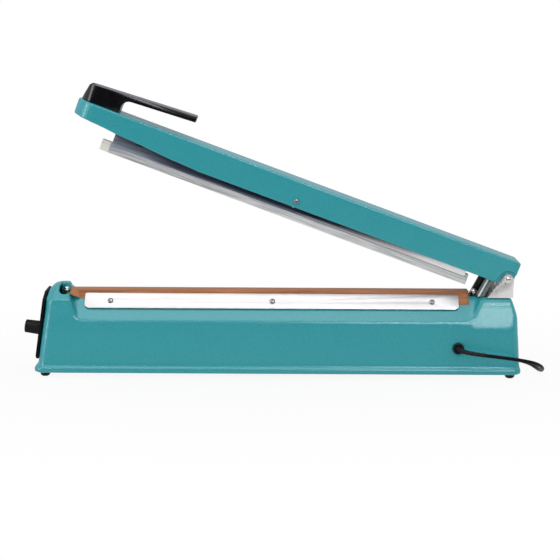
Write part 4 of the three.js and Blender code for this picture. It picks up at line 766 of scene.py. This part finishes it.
def crest_filling():
    crest = [(5.4, 98.4), (13.4, 98.4), (14.5, 97.1), (17.3, 94.1), (22.6, 89.9), (22.6, 84.6), (5.4, 84.6)]
    flank_foot = -218.6
    shape = bmesh.new()
    face = shape.faces.new([shape.verts.new((-241, y, z)) for y, z in crest])
    for vert in extruded(shape, face):
        vert.co.x = flank_foot - (vert.co.z - slope_foot_height) * math.tan(math.radians(flank_lean))
    bmesh.ops.recalc_face_normals(shape, faces=shape.faces)
    return mesh_from("filling", shape)


base_rounds = [(2, everywhere), (4, off_the_recess), (14, raised_ends)]
cast_skin("base_housing", "base_casting", "base", paint, on_base, 1.2, base_rounds, 0.42,
          crest_filling())
cast_skin("arm_housing", "arm_casting", "arm", paint, on_arm, 0.9, [(1, everywhere)], 0.36)

# %% [markdown]
# ## The knob end
# A black panel closes the left wall. The timer knob on it has ribs for the fingers: a tapered blank
# whose side faces are extruded outwards, every other one. The lamp's lens is turned.

# %% Panel, knob and lamp
def make_knob():
    shape = bmesh.new()
    bmesh.ops.create_circle(shape, cap_ends=True, radius=7.35, segments=48)
    top = extruded(shape, shape.faces[:][0])
    bmesh.ops.translate(shape, vec=(0, 0, 18), verts=top)
    bmesh.ops.scale(shape, vec=(0.9, 0.9, 1), verts=top)
    shape.normal_update()
    sides = [f for f in shape.faces if len(f.verts) == 4]
    sides.sort(key=lambda f: math.atan2(f.calc_center_median().y, f.calc_center_median().x))
    raised = bmesh.ops.extrude_discrete_faces(shape, faces=sides[::2])
    for rib in raised["faces"]:
        outward = rib.calc_center_median().xy.normalized()
        bmesh.ops.translate(shape, vec=(outward.x * 0.5, outward.y * 0.5, 0), verts=rib.verts)
        from_middle = Matrix.Translation(-rib.calc_center_median())
        bmesh.ops.scale(shape, vec=(0.72, 0.72, 1), verts=rib.verts, space=from_middle)
    cap = max((f for f in shape.faces if len(f.verts) > 4), key=lambda f: f.calc_center_median().z)
    bmesh.ops.inset_individual(shape, faces=[cap], thickness=0.8, depth=0.5)
    bmesh.ops.remove_doubles(shape, verts=shape.verts, dist=0.001)
    return shape


softened("end_panel", "panel_moulding", "base", panel_black, 0.5, shortest=1.0)
at_knob = on_wall @ moved(-4.0, 0, 47) @ turn(-90, "Y")
keep("timer_knob_ribbed", make_knob(), at_knob, "knob", knob_black, ("timer_knob",), 40)
lamp_shape = turned([
    (0, -14), (3.6, -14), (3.6, 3.5), (4.2, 3.8), (4.2, 4.3), (3.4, 4.7), (3.0, 5.0), (2.1, 5.1),
    (1.0, 5.1), (0, 5.1),
], 32)
at_lamp = on_wall @ moved(0, 0, 72) @ turn(-90, "Y")
keep("indicator_lens", lamp_shape, at_lamp, "base", lamp_red, ("indicator_lamp",))

# %% [markdown]
# ## Screws
# One recipe serves every cross-head screw: a turned pan head, and a cross pressed into it. The cross
# is cut by a Boolean modifier with two crossed tapered bars, and the result is kept as the mesh. Each
# screw is then placed by a matrix of its own, and turned by its own angle, as hands leave them.

# %% Cross-head screw
def cross_head_screw(head, height, shank, length, recess_share=0.62):
    screw = turned([
        (0, -length), (shank * 0.6, -length), (shank, -length + 1), (shank, 0), (head * 0.96, 0),
        (head, height * 0.12), (head, height * 0.4), (head * 0.9, height * 0.68), (head * 0.68, height * 0.9),
        (head * 0.4, height), (0, height),
    ], 28)
    bars = bmesh.new()
    for angle in (0, 90):
        verts = bmesh.ops.create_cube(bars, size=1)["verts"]
        bmesh.ops.scale(bars, vec=(head * recess_share * 2, head * 0.24, height * 1.1), verts=verts)
        bmesh.ops.scale(bars, vec=(0.55, 0.6, 1), verts=[v for v in verts if v.co.z < 0])
        put(bars, moved(0, 0, height * 0.98) @ turn(angle, "Z"), verts)
    body = new_object("screw", mesh_from("screw", screw))
    cross = new_object("cross", mesh_from("cross", bars))
    carve = body.modifiers.new("carve", "BOOLEAN")
    carve.operation = "DIFFERENCE"
    carve.solver = "EXACT"
    carve.use_self = True
    carve.object = cross
    result = mesh_of(body)
    bpy.data.objects.remove(body)
    bpy.data.objects.remove(cross)
    return result


def set_screw(node, blank, where, body="base", finish=zinc):
    return keep(node + "_cross_head", shape_of(blank), where, body, finish, (node,), 40)


small_screw = cross_head_screw(2.9, 1.7, 1.6, 6)
case_screw = cross_head_screw(3.0, 1.8, 1.6, 10)
handle_screw = cross_head_screw(3.0, 1.8, 1.6, 9)
print("screw blanks:", len(small_screw.polygons), "faces")

# %% [markdown]
# Three screws hold each clamp bar, two the end panel, two the hinge bracket and two the handle. Each
# head stands square to the face that it holds, so its place starts from the matrix of that part.

# %% Set the screws
clamp_width = 19.4
clamp_offset = 0.8
clamp_thickness = 1.5
clamp_screw_share = 0.52
plate_thickness = 1.6
clamp_screw_up = slope_length - clamp_width * clamp_screw_share
clamp_screw_out = clamp_offset + clamp_thickness + seat_gap
for index, (x, tilt) in enumerate(((-184, 17), (-6.2, 62), (169.3, 40)), 1):
    front = on_front_slope @ moved(x, clamp_screw_up, clamp_screw_out) @ turn(tilt, "Z")
    rear = on_rear_slope @ moved(-x, clamp_screw_up, clamp_screw_out) @ turn(tilt + 25, "Z")
    set_screw(f"front_clamp_screw_{index}", small_screw, front, finish=dark_steel)
    set_screw(f"rear_clamp_screw_{index}", small_screw, rear, finish=dark_steel)
for index, (z, tilt) in enumerate(((22.5, 0), (84, 30)), 1):
    at_screw = on_wall @ moved(-3.8, 0, z) @ turn(-90, "Y") @ turn(tilt, "Z")
    set_screw(f"panel_screw_{index}", case_screw, at_screw)
plate_top = block_top + seat_gap + plate_thickness
for index, (y, tilt) in enumerate(((-9, 20), (9, 70)), 1):
    at_screw = on_base @ moved(245, y, plate_top + seat_gap) @ turn(tilt, "Z")
    set_screw(f"bracket_screw_{index}", case_screw, at_screw)
for index, (reach, tilt) in enumerate(((492, 15), (470, 55)), 1):
    at_screw = on_arm @ moved(-reach, 0, arm_top - arm_top_wall - seat_gap) @ turn(180, "X") @ turn(tilt, "Z")
    set_screw(f"handle_screw_{index}", handle_screw, at_screw, "arm")

# %% [markdown]
# ## The sealing bed
# Two bright strips clamp the cloth along the slopes. Their solids get softer edges.

# %% Clamp bars
for side in ("front", "rear"):
    strip = f"{side}_clamp_strip"
    softened(f"{side}_clamp_bar", strip, "base", bright_strip, 0.25, shortest=0.3)

# %% [markdown]
# The cloth is one grid whose points are placed on the outline of the bed: flat over the top, down its
# sides, and down both slopes under the clamp bars. Left of the bars it is cut narrower. Its last
# columns leave the bed and stretch like a tent to the flank of the raised end. A cloth simulation
# could lay it too, but a sheet that is pulled tight over a straight bed has nowhere to sag. At the
# end it gets its thickness.

# %% Cloth
bed_half, bed_side, bed_top = 8.15, 4.3, 92.65
bed_bulge = 0.15
cloth_left, cloth_right = -217.4, 210.2
cloth_half = 24.4
cut_reach = 18.6
cut_from, cut_over = -214, 5
flap_left = -228.3
flap_corner = (22, 90.6)
half_row = [0, 2.5, 5, 7.6, bed_half, 8.6, 10, 12, bed_half + bed_side, 13.4]
outer_rows = 4
rows_out = len(half_row) - 1 + outer_rows
columns = 150
flap_columns = 8


def profile_point(side, run):
    """A point of the bed's outline at a distance across the cloth from its middle, in millimetres."""
    if run <= bed_half:
        return side * run, bed_top
    run -= bed_half
    if run <= bed_side:
        return side * (bed_half + bed_bulge * run / bed_side), bed_top - run
    run -= bed_side
    slant = math.radians(slope_angle)
    out = bed_half + bed_bulge + run * math.cos(slant)
    return side * out, bed_top - bed_side - run * math.sin(slant)


def cloth_place(column, row):
    """Where a point of the grid lies. The columns below 0 are those of the tent."""
    x = cloth_left + (cloth_right - cloth_left) * max(column, 0) / columns
    uncut = min(max((x - cut_from) / cut_over, 0), 1)
    reach = cut_reach + (cloth_half - cut_reach) * uncut
    if abs(row) < len(half_row):
        run = half_row[abs(row)]
    else:
        run = half_row[-1] + (reach - half_row[-1]) * (abs(row) - len(half_row) + 1) / outer_rows
    side = -1 if row < 0 else 1
    y, z = profile_point(side, run)
    lifted = max(-column, 0) / flap_columns
    if run > bed_half:
        share = (run - bed_half) / (reach - bed_half)
        tent_y = side * (bed_half + (flap_corner[0] - bed_half) * share)
        tent_z = bed_top + (flap_corner[1] - bed_top) * share
        y += (tent_y - y) * lifted
        z += (tent_z - z) * lifted
    return x + (flap_left - cloth_left) * lifted, y, z


def make_cloth():
    shape = bmesh.new()
    all_columns = columns + flap_columns
    bmesh.ops.create_grid(shape, x_segments=all_columns, y_segments=2 * rows_out, size=1)
    for vert in shape.verts:
        column = round((vert.co.x + 1) / 2 * all_columns) - flap_columns
        vert.co = cloth_place(column, round(vert.co.y * rows_out))
    put(shape, on_base)
    bmesh.ops.recalc_face_normals(shape, faces=shape.faces)
    flat_area = sum(face.calc_area() for face in shape.faces)
    cloth = keep_mesh("sealing_cloth_sheet", mesh_from("cloth", shape), "base", cloth_finish,
                      ("sealing_cloth",), 60)
    thick = cloth.modifiers.new("thickness", "SOLIDIFY")
    thick.thickness = 0.25 * mm
    thick.offset = 1
    return cloth, flat_area


cloth, cloth_area = make_cloth()
print("cloth area:", round(cloth_area, 5), "square metres")

# %% [markdown]
# ## Terminals
# Under a screw and washer at each end the heating ribbon is held. The left screw sits in an oval
# recess in the shoulder, the right one on a small black block.

# %% Terminal screws and block
eyelet_height = 89.4
washer_thickness = 1


def terminal_screw(length):
    shape = shape_of(cross_head_screw(3.0, 3.0, 1.6, length, 0.55))
    bmesh.ops.translate(shape, vec=(0, 0, washer_thickness), verts=shape.verts)
    washer = [(1.8, 0), (3.55, 0), (3.7, 0.15), (3.7, 0.85), (3.55, 1), (1.8, 1), (1.8, 0)]
    join_in(shape, turned(washer, 32))
    return shape


for side, x, length, tilt in (("left", -234, 11.5, 35), ("right", 216.8, 16, 70)):
    node = side + "_terminal_screw"
    at_terminal = on_base @ moved(x, 0, eyelet_height + washer_thickness) @ turn(tilt, "Z")
    keep(node + "_washer", terminal_screw(length), at_terminal, "base", zinc, (node,), 40)
softened("right_terminal_block", "right_block", "base", plastic_black, 0.3, 2, shortest=0.5)

# %% [markdown]
# ## Hinge, sleeve and rod
# A folded steel bracket holds the pin between two ears. Beside it a steel tube guards the spring that
# lifts the arm, and behind the tube stands the black rod that works the switch.

# %% Hinge, sleeve and rod
softened("hinge_bracket", "hinge_bracket_folded", "base", bracket_steel, 0.35, shortest=0.5)
pin_shape = turned([
    (0, -20.9), (1.6, -20.9), (2.7, -20.7), (3.3, -20.3), (3.3, -19.9), (2.6, -19.9), (2.6, 19.9),
    (3.3, 19.9), (3.3, 20.3), (2.7, 20.7), (1.6, 20.9), (0, 20.9),
], 32)
at_pin = on_base @ moved(*pivot) @ turn(90, "X")
keep("hinge_pin_turned", pin_shape, at_pin, "base", zinc, ("hinge_pin",), 40)
softened("spring_sleeve", "spring_sleeve_tube", "base", tube_steel)
softened("switch_rod", "switch_rod_turned", "rod", plastic_black)

# %% [markdown]
# ## Springs
# One spring in the sleeve lifts the arm, and two above the pressure bar push it down. They fill the
# room that they have with the arm open. It shrinks as the arm comes down, and a rigid spring would
# poke through the arm.

# %% Springs
sleeve_lean = 27.8
sleeve_x, sleeve_y = 224.7, -7
sleeve_radius = 5.9
lift_pad_place, lift_pad_drop, lift_pad_radius = -14, 9.4, 4.6
foot_lift = sleeve_radius * math.tan(math.radians(sleeve_lean))
lift_pad = on_arm @ Vector((lift_pad_place, sleeve_y, lift_pad_drop))
lift_room = (lift_pad.z / mm - block_top) / math.cos(math.radians(sleeve_lean))
lift_length = lift_room - lift_pad_radius * math.tan(math.radians(sleeve_lean / 2)) - foot_lift * 1.5
at_sleeve = on_base @ moved(sleeve_x, sleeve_y, block_top + seat_gap) @ turn(sleeve_lean, "Y")
at_spring = at_sleeve @ moved(0, 0, foot_lift / 2 + 2 * seat_gap)
bar_seat = 93.3
silicone_height = 11.4
channel_wall = 1.2
bar_spring_foot = (
    bar_seat - pivot[2] + silicone_height + seat_gap + channel_wall - float_travel + seat_gap
)
bar_spring_length = arm_top - arm_top_wall - seat_gap - bar_spring_foot
print("springs:", round(lift_length, 1), "and", round(bar_spring_length, 1), "mm long")


def add_spring(node, body, where, wire, turns, length):
    shape = coil_spring(3.6, wire, turns, length)
    coil = keep(node + "_coil", shape, where, body, spring_steel, (node,), 60)
    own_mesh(coil)


add_spring("lift_spring", "base", at_spring, 1.3, 9, lift_length)
for node, reach in (("bar_spring_near", 130), ("bar_spring_far", 370)):
    at_coil = on_arm @ moved(-reach, 0, bar_spring_foot)
    add_spring(node, "arm", at_coil, 0.9, 7, bar_spring_length)

# %% [markdown]
# ## Pressure bar
# A steel channel holds a strip of silicone whose lips stand out below it. The bar hangs on a pin that
# goes across the arm, with its screw head in front and its nut behind.

# %% Pressure bar, silicone and cross pin
softened("pressure_bar", "pressure_channel", "bar", bar_steel, 0.15, 2, shortest=0.6)
softened("silicone_strip", "silicone_pad", "bar", silicone, 0.3, shortest=0.3)
cross_pin = shape_of(cross_head_screw(2.7, 1.5, 1.6, 40.3))
join_in(cross_pin, turned([(1.7, -41.9), (2.7, -41.9), (2.7, -40.6), (1.7, -40.6), (1.7, -41.9)], 6))
at_cross = on_arm @ moved(-247.4, -20.3, 0.4) @ turn(90, "X") @ turn(25, "Z")
keep("cross_pin_screw", cross_pin, at_cross, "arm", dark_steel, ("cross_pin",), 40)

# %% [markdown]
# ## Handle
# The handle is a thick black moulding: a foot bolted to the tip of the arm and a grip that reaches
# back over it, with an arch for the fingers.

# %% Handle
softened("handle", "handle_moulding", "arm", handle_black, 0.45, 3, 28, 0.5, 30)

# %% [markdown]
# ## Feet, cover and the inside
# Rubber feet are turned. The cover and what it hides keep their solids and get their finishes.

# %% Feet, cover and hidden pieces
foot_profile = [
    (0, 0.5), (1.6, 0.5), (1.9, 0.0), (2.6, 0.0), (3.7, 0.35), (4.6, 1.1), (5.25, 2.2), (5.6, 3.6),
    (5.6, 4.85), (1.9, 4.85), (1.9, 13), (0, 13),
]
for node in ("foot_left_front", "foot_left_rear", "foot_right_front", "foot_right_rear"):
    low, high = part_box(node)
    middle = (low + high) / 2
    at_foot = moved(middle.x, middle.y, 0) @ scale
    keep(node + "_turned", turned(foot_profile, 36), at_foot, "base", rubber_black, (node,), 50)

dressed = {
    "bottom_cover": cover_steel, "insulating_strip": brown_bakelite, "heating_wire": heating_ribbon,
    "left_terminal_block": brown_bakelite, "left_terminal_seat": brass, "timer_board": board_finish,
    "relay": plastic_black, "potentiometer": zinc, "potentiometer_shaft": zinc, "microswitch": plastic_black,
    "switch_bracket": cover_steel, "transformer_core": core_steel, "transformer_winding": copper,
    "transformer_strap": cover_steel, "heater_lead_left": lead_red, "heater_lead_right": lead_black,
}
for node, finish in dressed.items():
    cad[node].data.materials.clear()
    cad[node].data.materials.append(finish)
print("dressed", len(dressed), "solids")

# %% [markdown]
# ## Floor, light and background
# The sealer stands on a plain pale floor. Camera, mirror and glass rays see a plain white world, so
# the background is white without pouring more light on the object. A hand's breadth away from the
# feet, where no shadow is, camera and mirror rays see the floor turn to that white too.

# %% Floor
def square(name, half, laid, finish):
    shape = bmesh.new()
    bmesh.ops.create_grid(shape, x_segments=1, y_segments=1, size=half)
    put(shape, laid)
    mesh = mesh_from(name, shape)
    mesh.materials.append(finish)
    return new_object(name, mesh)


def empty_tree(owner):
    owner.use_nodes = True
    owner.node_tree.nodes.clear()
    return owner.node_tree


def ray_is(tree, *kinds):
    """1 for rays of these kinds, else 0."""
    path = add_node(tree, "LightPath")
    share = path.outputs[f"Is {kinds[0]} Ray"]
    for kind in kinds[1:]:
        share = calculated(tree, "MAXIMUM", share, path.outputs[f"Is {kind} Ray"])
    return share


def show_blend(tree, share, first, second, output):
    """The output shows the first shader, and the second one in the given share."""
    blend = add_node(tree, "MixShader", Fac=share)
    tree.links.new(first.outputs[0], blend.inputs[1])
    tree.links.new(second.outputs[0], blend.inputs[2])
    tree.links.new(blend.outputs[0], add_node(tree, output).inputs["Surface"])


def make_floor():
    finish = bpy.data.materials.new("pale_floor")
    tree = empty_tree(finish)
    away = add_node(tree, "VectorMath", {"operation": "LENGTH"})
    tree.links.new(object_places(tree, (0.55, 1, 1)), away.inputs[0])
    glow = stretched(tree, away.outputs["Value"], 0.06, 0.4, 0.88, 1.0)
    share = calculated(tree, "MULTIPLY", ray_is(tree, "Camera", "Glossy"), glow)
    matt = add_node(tree, "BsdfDiffuse", Color=(0.85, 0.85, 0.85, 1))
    white = add_node(tree, "Emission", Color=(1, 1, 1, 1), Strength=1.0)
    show_blend(tree, share, matt, white, "OutputMaterial")
    floor = square("floor", 60, Matrix(), finish)
    return floor


print("laid the", make_floor().name)

# %% [markdown]
# The light is that of a white tent: an even world, a large soft lamp above and one from the front
# left. Paint, plastic and steel get their form from what they mirror, so things that only mirror
# images show are set round the sealer. Bright lamps lie above for the slopes, at the left for the
# rounded corners and low at the right for the hinge end, and two narrow ones draw the bright lines
# along the edges. A tall dark card in front keeps upright faces deep in colour, as a dark room does.
# A low one lies before the feet, where black pieces would mirror the white floor. A gray one stands
# behind, so that faces seen at a flat angle don't turn white.

# %% World, lamps and cards
def make_world(strength):
    world = bpy.data.worlds.new("studio")
    bpy.context.scene.world = world
    tree = empty_tree(world)
    soft = add_node(tree, "Background", Color=(1, 1, 1, 1), Strength=strength)
    white = add_node(tree, "Background", Color=(1, 1, 1, 1), Strength=1.0)
    show_blend(tree, ray_is(tree, "Camera", "Glossy", "Transmission"), soft, white, "OutputWorld")


def lamp_at(name, spot, target, size, brightness, shine_only=False):
    """brightness is that of the lamp's face, where 1 is the white of the background."""
    data = bpy.data.lights.new(name, "AREA")
    data.shape = "RECTANGLE"
    data.size, data.size_y = size
    data.energy = brightness * math.pi * size[0] * size[1]
    lamp = new_object(name, data)
    lamp.location = spot
    lamp.rotation_mode = "QUATERNION"
    lamp.rotation_quaternion = (Vector(target) - Vector(spot)).to_track_quat("-Z", "Y")
    lamp.visible_diffuse = not shine_only


def card_at(name, spot, size, colour, lying=False):
    """A card that stands or lies and that only mirror images show."""
    finish = bpy.data.materials.new(name)
    tree = empty_tree(finish)
    glow = add_node(tree, "Emission", Color=(*colour, 1), Strength=1.0)
    tree.links.new(glow.outputs[0], add_node(tree, "OutputMaterial").inputs["Surface"])
    card = square(name, 0.5, turn(0 if lying else 90, "X") @ Matrix.Diagonal((*size, 1, 1)), finish)
    card.location = spot
    for rays in ("camera", "diffuse", "transmission", "volume_scatter", "shadow"):
        setattr(card, "visible_" + rays, False)


make_world(0.72)
lamp_at("overhead", (0, -0.2, 1.7), (0, 0, 0.1), (1.6, 1.0), 0.9)
lamp_at("front_left", (-1.2, -2.0, 1.2), (0, 0, 0.1), (1.2, 1.2), 2.4)
lamp_at("slope_shine", (-0.27, -0.33, 1.45), (-0.2, 0, 0.08), (1.3, 0.5), 1.9, True)
lamp_at("corner_shine", (-1.35, -0.95, 0.6), (-0.25, 0, 0.15), (0.3, 1.1), 10.0, True)
lamp_at("hump_shine", (-0.5, -1.2, 1.35), (-0.25, 0, 0.08), (0.2, 0.06), 60.0, True)
lamp_at("low_shine", (0.6, -1.6, 0.93), (0.24, 0, 0.07), (0.9, 0.36), 11.0, True)
lamp_at("edge_shine", (0.52, -1.2, 1.35), (0.15, 0, 0.15), (0.85, 0.05), 60.0, True)
card_at("dark_card", (0, -1.9, 1.75), (5.0, 3.46), (0.03, 0.03, 0.03))
card_at("gray_card", (0, 0.9, 0.42), (3.0, 0.72), (0.54, 0.55, 0.61))
card_at("low_card", (0, -1.35, 0.01), (5.0, 1.1), (0.05, 0.05, 0.06), lying=True)
bpy.context.scene.view_settings.view_transform = "Standard"
print(len(bpy.data.lights), "lamps")
